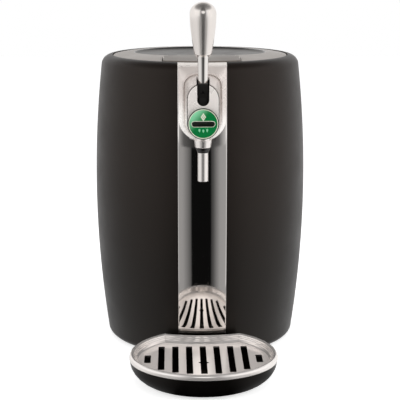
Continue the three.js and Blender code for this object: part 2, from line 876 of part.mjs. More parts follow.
const spoutTube = () =>
  spoutPiece([
    [boreRadius, tubeBottom],
    [tubeRadius, tubeBottom],
    [tubeRadius, collarBottom - fitGap],
    [boreRadius, collarBottom - fitGap],
  ]);

// Black skirting below the strip, where the tray docks.
function trayDock() {
  const inside = barrelOutline(stripWall - stripProud);
  const skin = ring([...barrelOutline(0), ...inside.reverse()], barrelSteps);
  const slice = block([-stripHalfWidth, -2 * barrelRadius, 0], [stripHalfWidth, 0, stripBottom - fitGap]);
  return skin.intersect(slice);
}

// Chassis ring that carries the insulation, with an arch through each side.
function chassis() {
  const low = barrelBottom + fitGap + basePlate + fitGap;
  const high = foamBottom - fitGap;
  const inner = chassisRadius - chassisWall;
  const frame = turned(
    [
      [inner, low],
      [chassisRadius, low],
      [chassisRadius, high - chassisWall],
      [foamRadius, high - chassisWall],
      [foamRadius, high],
      [0, high],
      [0, high - chassisWall],
      [inner, high - chassisWall],
      [inner, low],
    ],
    ringSteps,
  );
  const arch = block(
    [-chassisArchHalf, -2 * chassisRadius, low + chassisWall],
    [chassisArchHalf, 2 * chassisRadius, chassisArchTop],
  );
  const feet = footPlaces().map(([x, y]) =>
    bar("z", footRadius + basePlate + fitGap, 0, barrelBottom + footSink + basePlate + 2 * fitGap, [x, y]),
  );
  return cut(frame, arch, arch.rotate([0, 0, 90]), ...feet);
}

// Deck between the shells and the well, with the collar round the lid and a rib down to the insulation.
function topDeck() {
  const low = deckTop - deckThickness;
  const outer = barrelSide(deckTop) - shellWall - fitGap;
  const collarTop = barrelTop - seamDepth - fitGap;
  const deck = ring(
    [
      [deckInner, low],
      [ribRadius, low],
      [ribRadius, foamTop + fitGap],
      [ribRadius + ribWall, foamTop + fitGap],
      [ribRadius + ribWall, low],
      [outer, low],
      [outer, deckTop],
      [seamRadius + collarWall, deckTop],
      [seamRadius + collarWall, collarTop],
      [seamRadius, collarTop],
      [seamRadius, deckTop],
      [deckInner, deckTop],
    ],
    barrelSteps,
  );
  const columnRoom = block(
    [-columnHalfWidth - fitGap, -2 * barrelRadius, 0],
    [columnHalfWidth + fitGap, -seamRadius - collarWall - fitGap, deckTop + overrun],
  );
  const hookSlot = block(
    [-hookHalfWidth - hookGap, -hookReach - hookNose - hookGap, 0],
    [hookHalfWidth + hookGap, -hookReach + hookThickness + 2 * hookGap, deckTop + overrun],
  );
  return cut(deck, columnRoom, hookSlot);
}

function kegWell() {
  const wall = wellRadius + wellWall;
  const low = wellFloor - wellWall;
  const lip = wellTop - wellWall;
  return turned(
    [
      [0, low],
      [wall, low],
      [wall, deckTop + fitGap],
      [wellRadius + wellFlange, deckTop + fitGap],
      [wellRadius + wellFlange, wellTop],
      [wellRadius, wellTop],
      [wellRadius, wellFloor],
      [0, wellFloor],
    ],
    barrelSteps,
  );
}

function insulation() {
  const inner = wellRadius + wellWall + fitGap;
  const floor = wellFloor - wellWall - fitGap;
  const cup = turned(
    [
      [0, foamBottom],
      [foamRadius, foamBottom],
      [foamRadius, foamTop],
      [inner, foamTop],
      [inner, floor],
      [0, floor],
    ],
    barrelSteps,
  );
  const blockRoom = block(
    [-coldHalfWidth - fitGap, 0, coldBottom - fitGap],
    [coldHalfWidth + fitGap, foamRadius + overrun, coldBottom + coldHeight + fitGap],
  );
  return cut(cup, blockRoom);
}

// Cold block, hollowed to the round of the well, with the cooling element and the finned heat sink behind it.
const coolerLevel = coldBottom + coldHeight / 2;
const sinkFront = coldReach + 2 * fitGap + pelletThickness;

function coldBlock() {
  const body = block([-coldHalfWidth, 0, coldBottom], [coldHalfWidth, coldReach, coldBottom + coldHeight]);
  const wellRoom = wellRadius + wellWall + fitGap;
  return cut(body, bar("z", wellRoom, 0, wellTop, [0, 0], barrelSteps));
}

function coolingElement() {
  return block(
    [-pelletHalfWidth, coldReach + fitGap, coolerLevel - pelletHalfWidth],
    [pelletHalfWidth, coldReach + fitGap + pelletThickness, coolerLevel + pelletHalfWidth],
  );
}

function heatSink() {
  const low = coolerLevel - sinkHeight / 2;
  const high = coolerLevel + sinkHeight / 2;
  const plate = block([-sinkHalfWidth, sinkFront, low], [sinkHalfWidth, sinkFront + sinkBase, high]);
  const pitch = (2 * sinkHalfWidth - finThickness) / (finCount - 1);
  const fins = steps(finCount - 1, (t) => {
    const x = -sinkHalfWidth + t * pitch * (finCount - 1);
    return block([x, sinkFront, low], [x + finThickness, sinkReach, high]);
  });
  return join(plate, ...fins);
}

// Fan: a square frame with a round bore, its motor on struts, and the bladed rotor on a short shaft.
const fanFront = sinkReach + fitGap;
const fanBack = coverReach - coverWall - fitGap;

function fanFrame() {
  const body = block(
    [-fanHalfWidth, fanFront, coolerLevel - fanHalfWidth],
    [fanHalfWidth, fanBack, coolerLevel + fanHalfWidth],
  );
  const bore = bar("y", fanBoreRadius, fanFront - overrun, fanBack + overrun, [0, coolerLevel], ringSteps);
  const motor = bar("y", fanMotorRadius, fanBack - fanStrutWidth, fanBack, [0, coolerLevel]);
  const shaft = bar("y", fanShaftRadius, fanFront + 2 * fanStrutWidth, fanBack, [0, coolerLevel], pinSteps);
  const struts = fanStrutAngles.map((angle) =>
    block([-fanStrutWidth / 2, 0, 0], [fanStrutWidth / 2, fanStrutWidth, fanBoreRadius + overrun])
      .rotate([0, angle, 0])
      .translate(0, fanBack - fanStrutWidth, coolerLevel),
  );
  return join(cut(body, bore), motor, shaft, ...struts);
}

function fanRotor() {
  const front = fanFront + fanStrutWidth / 2;
  const back = fanBack - fanStrutWidth - runGap;
  const hub = cut(
    bar("y", fanHubRadius, front, back, [0, 0]),
    bar("y", fanHubRadius - fanHubWall, front + 2 * fanStrutWidth, back + overrun, [0, 0]),
    bar("y", fanShaftRadius + fitGap, front + fanStrutWidth, back + overrun, [0, 0], pinSteps),
  );
  const chord = back - front - fanStrutWidth / 2;
  const blades = steps(fanBladeCount - 1, (t) =>
    block(
      [-fanBladeThickness / 2, -chord / 2, fanHubRadius - fanHubWall / 2],
      [fanBladeThickness / 2, chord / 2, fanBladeRadius],
    )
      .rotate([0, 0, fanBladePitch])
      .translate(0, (front + back) / 2, 0)
      .rotate([0, (t * (fanBladeCount - 1) * 360) / fanBladeCount, 0]),
  );
  return join(hub, ...blades).translate(0, 0, coolerLevel);
}

// Rear cover: a hollow hood with a sloping top, louvres for the fan, and cut-outs for the inlet and the
// switch.
function coverOutline(inset) {
  const half = coverHalfWidth - inset;
  const back = coverReach - inset;
  const round = coverCorner - inset;
  const corner = (x, y, from) =>
    steps(cornerSteps, (t) => {
      const angle = radians(from + 90 * t);
      return [x + round * Math.cos(angle), y + round * Math.sin(angle)];
    });
  const front = coverFront - (inset > 0 ? overrun : 0);
  return [
    [-half, front],
    [half, front],
    ...corner(half - round, back - round, 0),
    ...corner(round - half, back - round, 90),
  ];
}

function coverBody(inset) {
  const front = coverFront - 2 * overrun;
  const side = across(
    [
      [front, coverBottom + inset],
      [coverReach - inset, coverBottom + inset],
      [coverReach - inset, coverShoulder - inset / 2],
      [coverTopReach - inset / 2, coverTop - inset],
      [front, coverTop - inset],
    ],
    -coverHalfWidth,
    coverHalfWidth,
  );
  return side.intersect(raised(coverOutline(inset), 0, coverTop));
}

function rearCover() {
  const louvres = steps(louvreCount - 1, (t) => {
    const z = louvreBottomLevel + t * (louvreCount - 1) * louvrePitch;
    return block([-louvreHalfWidth, fanBack, z], [louvreHalfWidth, coverReach + overrun, z + louvreGap]);
  });
  const inletRoom = block(
    [inletPlace - inletHalfWidth - fitGap, fanBack, inletLevel - inletHalfHeight - fitGap],
    [inletPlace + inletHalfWidth + fitGap, coverReach + overrun, inletLevel + inletHalfHeight + fitGap],
  );
  const switchRoom = block(
    [switchPlace - switchHalfWidth - fitGap, fanBack, inletLevel - switchHalfHeight - fitGap],
    [switchPlace + switchHalfWidth + fitGap, coverReach + overrun, inletLevel + switchHalfHeight + fitGap],
  );
  const hood = cut(coverBody(0), barrelSolid(-2 * shellWall), coverBody(coverWall));
  return cut(hood, ...louvres, inletRoom, switchRoom);
}

// Mains inlet: a deep socket with three flat pins.
function powerInlet() {
  const body = block(
    [-inletHalfWidth, coverReach - inletDepth, -inletHalfHeight],
    [inletHalfWidth, coverReach - fitGap, inletHalfHeight],
  );
  const wall = coverWall;
  const socket = block(
    [-inletHalfWidth + wall, coverReach - inletDepth + inletFlange, -inletHalfHeight + wall],
    [inletHalfWidth - wall, coverReach + overrun, inletHalfHeight - wall],
  );
  const pins = [-1, 0, 1].map((place) => {
    const x = (place * inletHalfWidth) / 2;
    const z = place === 0 ? inletHalfHeight / 4 : -inletHalfHeight / 4;
    return block(
      [x - pinHalfWidth, coverReach - inletDepth + fitGap, z - 2 * pinHalfWidth],
      [x + pinHalfWidth, coverReach - 2 * inletFlange, z + 2 * pinHalfWidth],
    );
  });
  return join(cut(body, socket), ...pins).translate(inletPlace, 0, inletLevel);
}

// Rocker switch: a bezel and a rocker that tips on two trunnions.
const bezelWall = coverWall / 2;
const rockerHalfWidth = switchHalfWidth - bezelWall - runGap;
const rockerAxis = coverReach - rockerInset;

function switchBezel() {
  const body = block(
    [-switchHalfWidth, coverReach - inletDepth + inletFlange, -switchHalfHeight],
    [switchHalfWidth, coverReach - fitGap, switchHalfHeight],
  );
  const room = block(
    [-switchHalfWidth + bezelWall, coverReach - inletDepth + 2 * inletFlange, -switchHalfHeight + bezelWall],
    [switchHalfWidth - bezelWall, coverReach + overrun, switchHalfHeight - bezelWall],
  );
  const reach = switchHalfWidth + overrun;
  const trunnions = bar("x", pinHalfWidth + fitGap, -reach, reach, [rockerAxis, 0]);
  return cut(body, room, trunnions).translate(switchPlace, 0, inletLevel);
}

function switchRocker() {
  const half = switchHalfHeight - bezelWall - runGap;
  const lean = radians(switchAngle);
  const tilt = (y, z) => [
    rockerAxis + y * Math.cos(lean) - z * Math.sin(lean),
    y * Math.sin(lean) + z * Math.cos(lean),
  ];
  const reach = (half - runGap) * Math.cos(lean);
  const face = inletFlange - fitGap;
  const outline = [
    tilt(face, -reach),
    tilt(face / 2, 0),
    tilt(face, reach),
    tilt(-face, reach),
    tilt(-face, -reach),
  ];
  const body = across(outline, -rockerHalfWidth, rockerHalfWidth);
  const pin = bar("x", pinHalfWidth, -switchHalfWidth, switchHalfWidth, [rockerAxis, 0]);
  return join(body, pin).translate(switchPlace, 0, inletLevel);
}

function controlBoard() {
  const high = boardLevel + boardThickness;
  const board = block([-boardHalfWidth, -boardDepth / 2, boardLevel], [boardHalfWidth, boardDepth / 2, high]);
  const transformer = block(
    [-boardHalfWidth / 2 - transformerSize / 2, -transformerSize / 2, boardLevel],
    [-boardHalfWidth / 2 + transformerSize / 2, transformerSize / 2, high + transformerSize],
  );
  const capacitors = [-1, 1].map((side) =>
    bar(
      "z",
      capacitorRadius,
      boardLevel,
      high + capacitorHeight,
      [boardHalfWidth / 2, side * 2 * capacitorRadius],
    ),
  );
  return join(board, transformer, ...capacitors);
}

// Lid: a shallow dome with an oval dish, a skirt, and two knuckles that reach back over the seam.
const domeLevel = (radius) => lidCrown - (lidCrown - lidEdge) * (radius / lidRadius) ** 4;

// A skin of even thickness that follows the lid's dome, lifted above it.
function domed(lift, thickness, radius) {
  const top = steps(domeSteps, (t) => {
    const r = radius * (1 - t);
    return [r, domeLevel(r) + lift];
  });
  const low = top.map(([r, z]) => [r, z - thickness]).reverse();
  return turned([...low, ...top], barrelSteps);
}

function oval(inset, level) {
  return steps(ringSteps, (t) => {
    const angle = 2 * Math.PI * t;
    return [(dishHalfWidth - inset) * Math.cos(angle), (dishHalfDepth - inset) * Math.sin(angle), level];
  }).slice(0, -1);
}

function latchOutline(grow) {
  const half = latchHalfWidth + grow;
  const back = -latchBackReach + grow;
  const arc = (side, from) =>
    steps(cornerSteps, (t) => {
      const angle = radians(from + 90 * t);
      return [
        side * (half - latchCorner) + latchCorner * Math.cos(angle),
        back - latchCorner + latchCorner * Math.sin(angle),
      ];
    });
  return [[-half, -2 * lidRadius], [half, -2 * lidRadius], ...arc(1, 0), ...arc(-1, 90)];
}

function lidShell() {
  const skirtInner = lidRadius - lidSkirtWall;
  const dome = steps(domeSteps, (t) => {
    const r = (lidRadius - lidRound) * (1 - t);
    return [r, domeLevel(r)];
  });
  const shell = turned(
    [
      [0, lidUnderside],
      [skirtInner, lidUnderside],
      [skirtInner, lidSkirtBottom],
      [lidRadius, lidSkirtBottom],
      [lidRadius, lidEdge - lidRound],
      ...dome,
    ],
    barrelSteps,
  );
  const dish = lofted([
    oval(dishSlope, dishFloor),
    oval(0, lidCrown),
    oval(0, lidCrown + overrun),
  ]);
  const notch = raised(latchOutline(runGap), latchSeat, lidCrown + overrun);
  const pinRoom = bar(
    "x",
    latchPivotRadius + fitGap / 2,
    -latchHalfWidth - latchPinOverhang - fitGap,
    latchHalfWidth + latchPinOverhang + fitGap,
    [-latchPivotReach, latchPivotLevel],
  );
  const knuckles = [-1, 1].map((side) => {
    const left = side * knucklePlace - knuckleWidth / 2;
    const root = Math.sqrt(skirtInner ** 2 - (knucklePlace + knuckleWidth / 2) ** 2);
    const arm = block(
      [left, root, hingeLevel - knuckleRadius],
      [left + knuckleWidth, hingeReach, lidEdge - lidRound],
    );
    return join(arm, bar("x", knuckleRadius, left, left + knuckleWidth, [hingeReach, hingeLevel]));
  });
  const pin = bar("x", hingePinRadius + fitGap, -lidRadius, lidRadius, [hingeReach, hingeLevel]);
  return cut(join(cut(shell, dish, notch, pinRoom), ...knuckles), pin);
}

function lidLiner() {
  const floor = linerBottom + linerThickness;
  const hub = linerHubRadius;
  return turned(
    [
      [0, linerBottom],
      [linerRadius, linerBottom],
      [linerRadius, floor],
      [hub, floor],
      [hub, lidUnderside - fitGap],
      [hub - linerThickness, lidUnderside - fitGap],
      [hub - linerThickness, floor],
      [0, floor],
    ],
    barrelSteps,
  );
}

function deckSeal() {
  return ring(
    [
      [sealInner, deckTop + fitGap],
      [sealOuter, deckTop + fitGap],
      [sealOuter, linerBottom - fitGap],
      [sealInner, linerBottom - fitGap],
    ],
    barrelSteps,
  );
}

// Cover over the hinge in the shells' shoulder. It holds the pin and has a pocket for each knuckle.
function hingeCover() {
  const low = barrelTop - seamDepth;
  const slab = block(
    [-hingeCoverHalfWidth, 0, low],
    [hingeCoverHalfWidth, 2 * barrelRadius, barrelTop + overrun],
  );
  const inner = bar("z", seamRadius, 0, barrelTop + overrun, [0, 0], barrelSteps);
  const pockets = [-1, 1].map((side) => {
    const left = side * knucklePlace - knuckleWidth / 2 - runGap;
    return block(
      [left, 0, low + fitGap],
      [left + knuckleWidth + 2 * runGap, hingeReach + knuckleRadius + runGap, barrelTop + overrun],
    );
  });
  const ribInner = seamRadius + collarWall + fitGap;
  const rib = ring(
    [
      [ribInner, low - lipWall],
      [ribInner + lipWall, low - lipWall],
      [ribInner + lipWall, low + fitGap],
      [ribInner, low + fitGap],
    ],
    barrelSteps,
  ).intersect(block([-hingeCoverHalfWidth, 0, 0], [hingeCoverHalfWidth, barrelRadius, barrelTop]));
  const pinReach = hingePinHalfLength + fitGap;
  const pin = bar("x", hingePinRadius + fitGap, -pinReach, pinReach, [hingeReach, hingeLevel]);
  return cut(join(cut(slab.intersect(barrelSolid(0)), inner, ...pockets), rib), pin);
}

const hingePin = () =>
  bar("x", hingePinRadius, -hingePinHalfLength, hingePinHalfLength, [hingeReach, hingeLevel], pinSteps);

// Latch: a domed tab on a cross pin. Pressing its front draws the hook below it back from the deck.
function latchTab() {
  const plate = domed(latchRise, latchThickness, lidRadius);
  const tab = plate.intersect(raised(latchOutline(0), 0, lidCrown + latchRise + overrun));
  const bossHalf = latchHalfWidth - latchCorner;
  const boss = bar("x", latchBossRadius, -bossHalf, bossHalf, [-latchPivotReach, latchPivotLevel]);
  const hookTop = domeLevel(hookReach);
  const hook = block(
    [-hookHalfWidth, -hookReach, hookBottom],
    [hookHalfWidth, -hookReach + hookThickness, hookTop],
  );
  const nose = across(
    [
      [-hookReach, hookBottom],
      [-hookReach + hookThickness / 2, hookBottom],
      [-hookReach + hookThickness / 2, hookBottom + hookNose],
      [-hookReach - hookNose, hookBottom + hookNose],
    ],
    -hookHalfWidth,
    hookHalfWidth,
  );
  const pivot = [-latchPivotReach, latchPivotLevel];
  const bore = bar("x", latchPivotRadius + fitGap, -lidRadius, lidRadius, pivot, pinSteps);
  return cut(join(tab, boss, hook, nose), bore);
}

const latchPin = () => {
  const half = latchHalfWidth + latchPinOverhang;
  return bar("x", latchPivotRadius, -half, half, [-latchPivotReach, latchPivotLevel], pinSteps);
};

// Outline of the tray in plan: two half ellipses about its centre, cut by the round of the barrel.
function trayRing(half, front, back, cutRadius, level) {
  const centre = [0, -trayCentreReach];
  const at = (angle) => {
    const depth = Math.sin(angle) > 0 ? back : front;
    return [centre[0] + half * Math.cos(angle), centre[1] + depth * Math.sin(angle)];
  };
  const outside = (angle) => Math.hypot(...at(angle)) - cutRadius;
  let low = 0;
  let high = Math.PI / 2;
  for (let i = 0; i < cornerHalvings; i += 1) {
    const middle = (low + high) / 2;
    if (outside(middle) > 0) low = middle;
    else high = middle;
  }
  const corner = low;
  const free = Math.round(trayPoints * trayFreeShare);
  const ellipse = steps(free, (t) => at(Math.PI - corner + t * (Math.PI + 2 * corner)));
  const [x, y] = at(corner);
  const sweep = Math.atan2(x, -y);
  const arc = steps(trayPoints - free, (t) => {
    const angle = sweep * (1 - 2 * t);
    return [cutRadius * Math.sin(angle), -cutRadius * Math.cos(angle)];
  });
  return [...ellipse, ...arc.slice(1, -1)].map(([px, py]) => [px, py, level]);
}

// Bowl of the tray: its wall swells from a small foot to the rim, and a tongue runs back under the barrel.
function dripTray() {
  const wallRing = (share, inset) => {
    const swell = Math.sqrt(1 - (1 - share) ** traySwellPower);
    const mix = (foot, rim) => foot + (rim - foot) * swell - inset;
    return trayRing(
      mix(footHalfWidth, trayHalfWidth - fitGap),
      mix(footFrontDepth, trayFrontDepth - fitGap),
      mix(footBackDepth, trayBackDepth - fitGap),
      trayCutRadius + fitGap + inset,
      Math.max(share * trayRimBottom, inset > 0 ? trayFloor : 0),
    );
  };
  const outer = trayOuterShares.map((share) => wallRing(share, 0));
  const inner = trayInnerShares.map((share) => wallRing(share, trayWall));
  const bowl = lofted([...outer, ...inner]);
  const tongue = block(
    [-tongueHalfWidth, -trayCutRadius - trayWall, tongueBottom],
    [tongueHalfWidth, -trayCutRadius + tongueLength, tongueBottom + tongueThickness],
  );
  return join(bowl, tongue);
}

// Chrome grille: a rounded rim, a sloping wall and a floor with slots, in one piece.
function dripGrille() {
  const at = (inset, level) =>
    trayRing(
      trayHalfWidth - inset,
      trayFrontDepth - inset,
      trayBackDepth - inset,
      trayCutRadius + inset,
      level,
    );
  const rim = grilleRim;
  const low = grilleLevel - grilleThickness;
  const seat = trayRimBottom + fitGap;
  const skirt = trayWall + 2 * fitGap;
  const pan = lofted([
    at(rim + grilleSlope, low),
    at(skirt + grilleThickness, low + grilleThickness),
    at(skirt, seat),
    at(0, seat),
    at(0, seat + (trayRimTop - seat) * grilleCheekShare),
    at(rim / 4, trayRimTop - grilleCheekDrop),
    at(rim / 2, trayRimTop),
    at(rim, trayRimTop - rimInnerDrop),
    at(rim + grilleSlope, grilleLevel + grilleThickness),
    at(rim + grilleFillet, grilleLevel),
  ]);
  const slot = (x, back, front) => {
    const half = longSlotWidth / 2;
    const round = half / 3;
    const ends = (px, py, from) =>
      steps(slotCornerSteps, (t) => {
        const angle = radians(from + 90 * t);
        return [px + round * Math.cos(angle), py + round * Math.sin(angle)];
      });
    const outline = [
      ...ends(x + half - round, -back - round, 0),
      ...ends(x - half + round, -back - round, 90),
      ...ends(x - half + round, -front + round, 180),
      ...ends(x + half - round, -front + round, 270),
    ];
    return raised(outline, 0, trayRimTop);
  };
  const middle = (slotCount - 1) / 2;
  const longSlots = steps(slotCount - 1, (t) => {
    const place = Math.round(t * (slotCount - 1)) - middle;
    const shorter = slotFrontShares[Math.abs(place)] * (slotFrontReach - slotBackReach);
    return slot(place * slotPitch, slotBackReach, slotFrontReach - shorter);
  });
  const shortSlots = [-1, 1].map((side) => slot(side * shortSlotPlace, shortSlotBack, shortSlotFront));
  const reach = longSlotWidth / 2 + notchDepth;
  const diamond = [
    [-reach, -notchReach],
    [0, -notchReach - reach],
    [reach, -notchReach],
    [0, -notchReach + reach],
  ];
  const notches = raised(diamond, 0, trayRimTop);
  return cut(pan, ...longSlots, ...shortSlots, notches);
}

// The assembly
const shells = sideShells();
const object = new THREE.Group();
const add = (name, shape, material) => object.add(piece(name, shape, material));

add("left_shell", shells.left, satinBlack);
add("right_shell", shells.right, satinBlack);
add("base_pan", basePan(), matteBlack);
footPlaces().forEach((place, i) => add(`foot_${i + 1}`, foot(place), rubber));
add("tray_dock", trayDock(), matteBlack);
add("chrome_strip", chromeStrip(), chrome);
add("front_column", frontColumn(), matteBlack);
add("chassis", chassis(), matteBlack);
add("top_deck", topDeck(), matteBlack);
add("keg_well", kegWell(), aluminium);
add("insulation", insulation(), foam);
add("cold_block", coldBlock(), aluminium);
add("cooling_element", coolingElement(), ceramic);
add("heat_sink", heatSink(), aluminium);
add("fan_frame", fanFrame(), matteBlack);
add("fan_rotor", fanRotor(), matteBlack);
add("control_board", controlBoard(), circuitGreen);
add("rear_cover", rearCover(), satinBlack);
add("power_inlet", powerInlet(), matteBlack);
add("switch_bezel", switchBezel(), matteBlack);
add("switch_rocker", switchRocker(), matteBlack);
add("hinge_cover", hingeCover(), satinBlack);
add("hinge_pin", hingePin(), steel);
add("deck_seal", deckSeal(), rubber);
add("lid_shell", lidShell(), softGrey);
add("lid_liner", lidLiner(), softGrey);
add("latch_tab", latchTab(), softGrey);
add("latch_pin", latchPin(), steel);
add("tap_nose", tapNose(), chrome);
add("tap_plate", tapPlate(), chrome);
add("badge_ring", badgeRing(), chrome);
add("badge_dome", badgeDome(), enamel);
add("lever_body", leverBody(), matteBlack);
add("lever_pin", leverPin(), steel);
add("tap_handle", tapHandle(), chrome);
add("valve_block", valveBlock(), matteBlack);
add("valve_slider", valveSlider(), steel);
add("spout_cone", spoutCone(), chrome);
add("spout_collar", spoutCollar(), matteBlack);
add("spout_tube", spoutTube(), chrome);
add("drip_tray", dripTray(), matteBlack);
add("drip_grille", dripGrille(), chrome);

// The origin lies under the middle of the object's box, from the tray's front edge to the rear cover.
const frontReach = trayCentreReach + trayFrontDepth;
object.position.y = (frontReach - coverReach) / 2;

export default object;
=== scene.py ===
"""Looks of the mini keg beer dispenser: smooth outer forms, materials, floor, light and camera."""

import math

import bpy
import bmesh
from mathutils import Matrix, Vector
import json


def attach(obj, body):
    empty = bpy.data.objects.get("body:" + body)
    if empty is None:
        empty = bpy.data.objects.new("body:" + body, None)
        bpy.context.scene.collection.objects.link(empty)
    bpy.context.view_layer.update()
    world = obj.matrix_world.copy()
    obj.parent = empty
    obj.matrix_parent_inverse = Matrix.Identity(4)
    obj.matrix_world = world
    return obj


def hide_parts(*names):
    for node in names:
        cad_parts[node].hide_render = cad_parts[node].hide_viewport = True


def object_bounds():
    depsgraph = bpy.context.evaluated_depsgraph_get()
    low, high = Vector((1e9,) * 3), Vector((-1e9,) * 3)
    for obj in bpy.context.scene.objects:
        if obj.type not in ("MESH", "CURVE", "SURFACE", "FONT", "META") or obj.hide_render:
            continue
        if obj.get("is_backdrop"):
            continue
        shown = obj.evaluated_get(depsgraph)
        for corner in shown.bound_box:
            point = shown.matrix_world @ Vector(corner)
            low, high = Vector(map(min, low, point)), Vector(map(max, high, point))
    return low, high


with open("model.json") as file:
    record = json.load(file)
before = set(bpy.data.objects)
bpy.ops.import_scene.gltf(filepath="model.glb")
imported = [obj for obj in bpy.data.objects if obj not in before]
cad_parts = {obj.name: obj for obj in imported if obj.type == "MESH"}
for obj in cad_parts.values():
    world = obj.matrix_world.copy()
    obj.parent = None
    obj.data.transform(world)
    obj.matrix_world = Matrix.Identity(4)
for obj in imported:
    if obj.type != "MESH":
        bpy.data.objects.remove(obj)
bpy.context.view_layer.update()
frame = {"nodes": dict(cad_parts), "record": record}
nodes = frame["nodes"]

MM = 0.001
AXIS_Y = 57.15  # the barrel's axis, in millimetres along y


# ---------------------------------------------------------------- materials
def linear(value):
    """One channel of a screen colour, 0 to 255, as linear light."""
    v = value / 255
    return v / 12.92 if v <= 0.04045 else ((v + 0.055) / 1.055) ** 2.4


def colour(r, g, b):
    """A screen colour, 0 to 255, as a socket's value."""
    return (linear(r), linear(g), linear(b), 1)


def new_group(name, inputs, outputs):
    tree = bpy.data.node_groups.new(name, "ShaderNodeTree")
    for label, kind, value in inputs:
        socket = tree.interface.new_socket(label, in_out="INPUT", socket_type=kind)
        socket.default_value = value
    for label, kind in outputs:
        tree.interface.new_socket(label, in_out="OUTPUT", socket_type=kind)
    return tree, tree.nodes.new("NodeGroupInput"), tree.nodes.new("NodeGroupOutput")


def group_grain():
    """Moulded grain: a fine bump over a broad, faint swell."""
    tree, source, target = new_group(
        "moulded_grain",
        [("Scale", "NodeSocketFloat", 3000), ("Depth", "NodeSocketFloat", 0.05)],
        [("Normal", "NodeSocketVector")],
    )
    coords = tree.nodes.new("ShaderNodeTexCoord")
    noise = tree.nodes.new("ShaderNodeTexNoise")
    noise.inputs["Detail"].default_value = 3
    bump = tree.nodes.new("ShaderNodeBump")
    bump.inputs["Distance"].default_value = 0.0004
    tree.links.new(coords.outputs["Object"], noise.inputs["Vector"])
    tree.links.new(source.outputs["Scale"], noise.inputs["Scale"])
    tree.links.new(noise.outputs["Fac"], bump.inputs["Height"])
    tree.links.new(source.outputs["Depth"], bump.inputs["Strength"])
    tree.links.new(bump.outputs["Normal"], target.inputs["Normal"])
    return tree


def group_wear():
    """Roughness that wanders between two values, as handling and wiping leave it."""
    tree, source, target = new_group(
        "handled_roughness",
        [
            ("Scale", "NodeSocketFloat", 30),
            ("Low", "NodeSocketFloat", 0.3),
            ("High", "NodeSocketFloat", 0.4),
        ],
        [("Roughness", "NodeSocketFloat")],
    )
    coords = tree.nodes.new("ShaderNodeTexCoord")
    noise = tree.nodes.new("ShaderNodeTexNoise")
    noise.inputs["Detail"].default_value = 6
    noise.inputs["Roughness"].default_value = 0.6
    spread = tree.nodes.new("ShaderNodeMapRange")
    spread.inputs["From Min"].default_value = 0.3
    spread.inputs["From Max"].default_value = 0.7
    tree.links.new(coords.outputs["Object"], noise.inputs["Vector"])
    tree.links.new(source.outputs["Scale"], noise.inputs["Scale"])
    tree.links.new(noise.outputs["Fac"], spread.inputs["Value"])
    tree.links.new(source.outputs["Low"], spread.inputs["To Min"])
    tree.links.new(source.outputs["High"], spread.inputs["To Max"])
    tree.links.new(spread.outputs["Result"], target.inputs["Roughness"])
    return tree


def group_tone():
    """A base colour that drifts slightly, with fine specks of dust."""
    tree, source, target = new_group(
        "drifting_tone",
        [
            ("Color", "NodeSocketColor", (0.5, 0.5, 0.5, 1)),
            ("Scale", "NodeSocketFloat", 25),
            ("Amount", "NodeSocketFloat", 0.1),
        ],
        [("Color", "NodeSocketColor")],
    )
    coords = tree.nodes.new("ShaderNodeTexCoord")
    noise = tree.nodes.new("ShaderNodeTexNoise")
    noise.inputs["Detail"].default_value = 8
    noise.inputs["Roughness"].default_value = 0.65
    centred = tree.nodes.new("ShaderNodeMath")
    centred.operation = "SUBTRACT"
    centred.inputs[1].default_value = 0.5
    scaled = tree.nodes.new("ShaderNodeMath")
    scaled.operation = "MULTIPLY_ADD"
    scaled.inputs[2].default_value = 1
    tint = tree.nodes.new("ShaderNodeVectorMath")
    tint.operation = "SCALE"
    tree.links.new(coords.outputs["Object"], noise.inputs["Vector"])
    tree.links.new(source.outputs["Scale"], noise.inputs["Scale"])
    tree.links.new(noise.outputs["Fac"], centred.inputs[0])
    tree.links.new(centred.outputs[0], scaled.inputs[0])
    tree.links.new(source.outputs["Amount"], scaled.inputs[1])
    tree.links.new(source.outputs["Color"], tint.inputs[0])
    tree.links.new(scaled.outputs[0], tint.inputs["Scale"])
    tree.links.new(tint.outputs[0], target.inputs["Color"])
    return tree


GRAIN, WEAR, TONE = group_grain(), group_wear(), group_tone()
HANDLED_SCALE = 30


def surface(name, base, rough, grain, metal=0, tone=(25, 0.15), specular=None):
    """A material from the three shared groups.

    rough is the least and the most roughness, grain a scale and a depth, tone a scale and an amount.
    """
    material = bpy.data.materials.new(name)
    material.use_nodes = True
    tree = material.node_tree
    shader = tree.nodes["Principled BSDF"]
    shader.inputs["Metallic"].default_value = metal
    for key, value in (specular or {}).items():
        shader.inputs[key].default_value = value
    tint = tree.nodes.new("ShaderNodeGroup")
    tint.node_tree = TONE
    tint.inputs["Color"].default_value = base
    tint.inputs["Scale"].default_value = tone[0]
    tint.inputs["Amount"].default_value = tone[1]
    tree.links.new(tint.outputs["Color"], shader.inputs["Base Color"])
    gloss = tree.nodes.new("ShaderNodeGroup")
    gloss.node_tree = WEAR
    gloss.inputs["Scale"].default_value = HANDLED_SCALE
    gloss.inputs["Low"].default_value = rough[0]
    gloss.inputs["High"].default_value = rough[1]
    tree.links.new(gloss.outputs["Roughness"], shader.inputs["Roughness"])
    if grain[1]:
        relief = tree.nodes.new("ShaderNodeGroup")
        relief.node_tree = GRAIN
        relief.inputs["Scale"].default_value = grain[0]
        relief.inputs["Depth"].default_value = grain[1]
        tree.links.new(relief.outputs["Normal"], shader.inputs["Normal"])
    return material


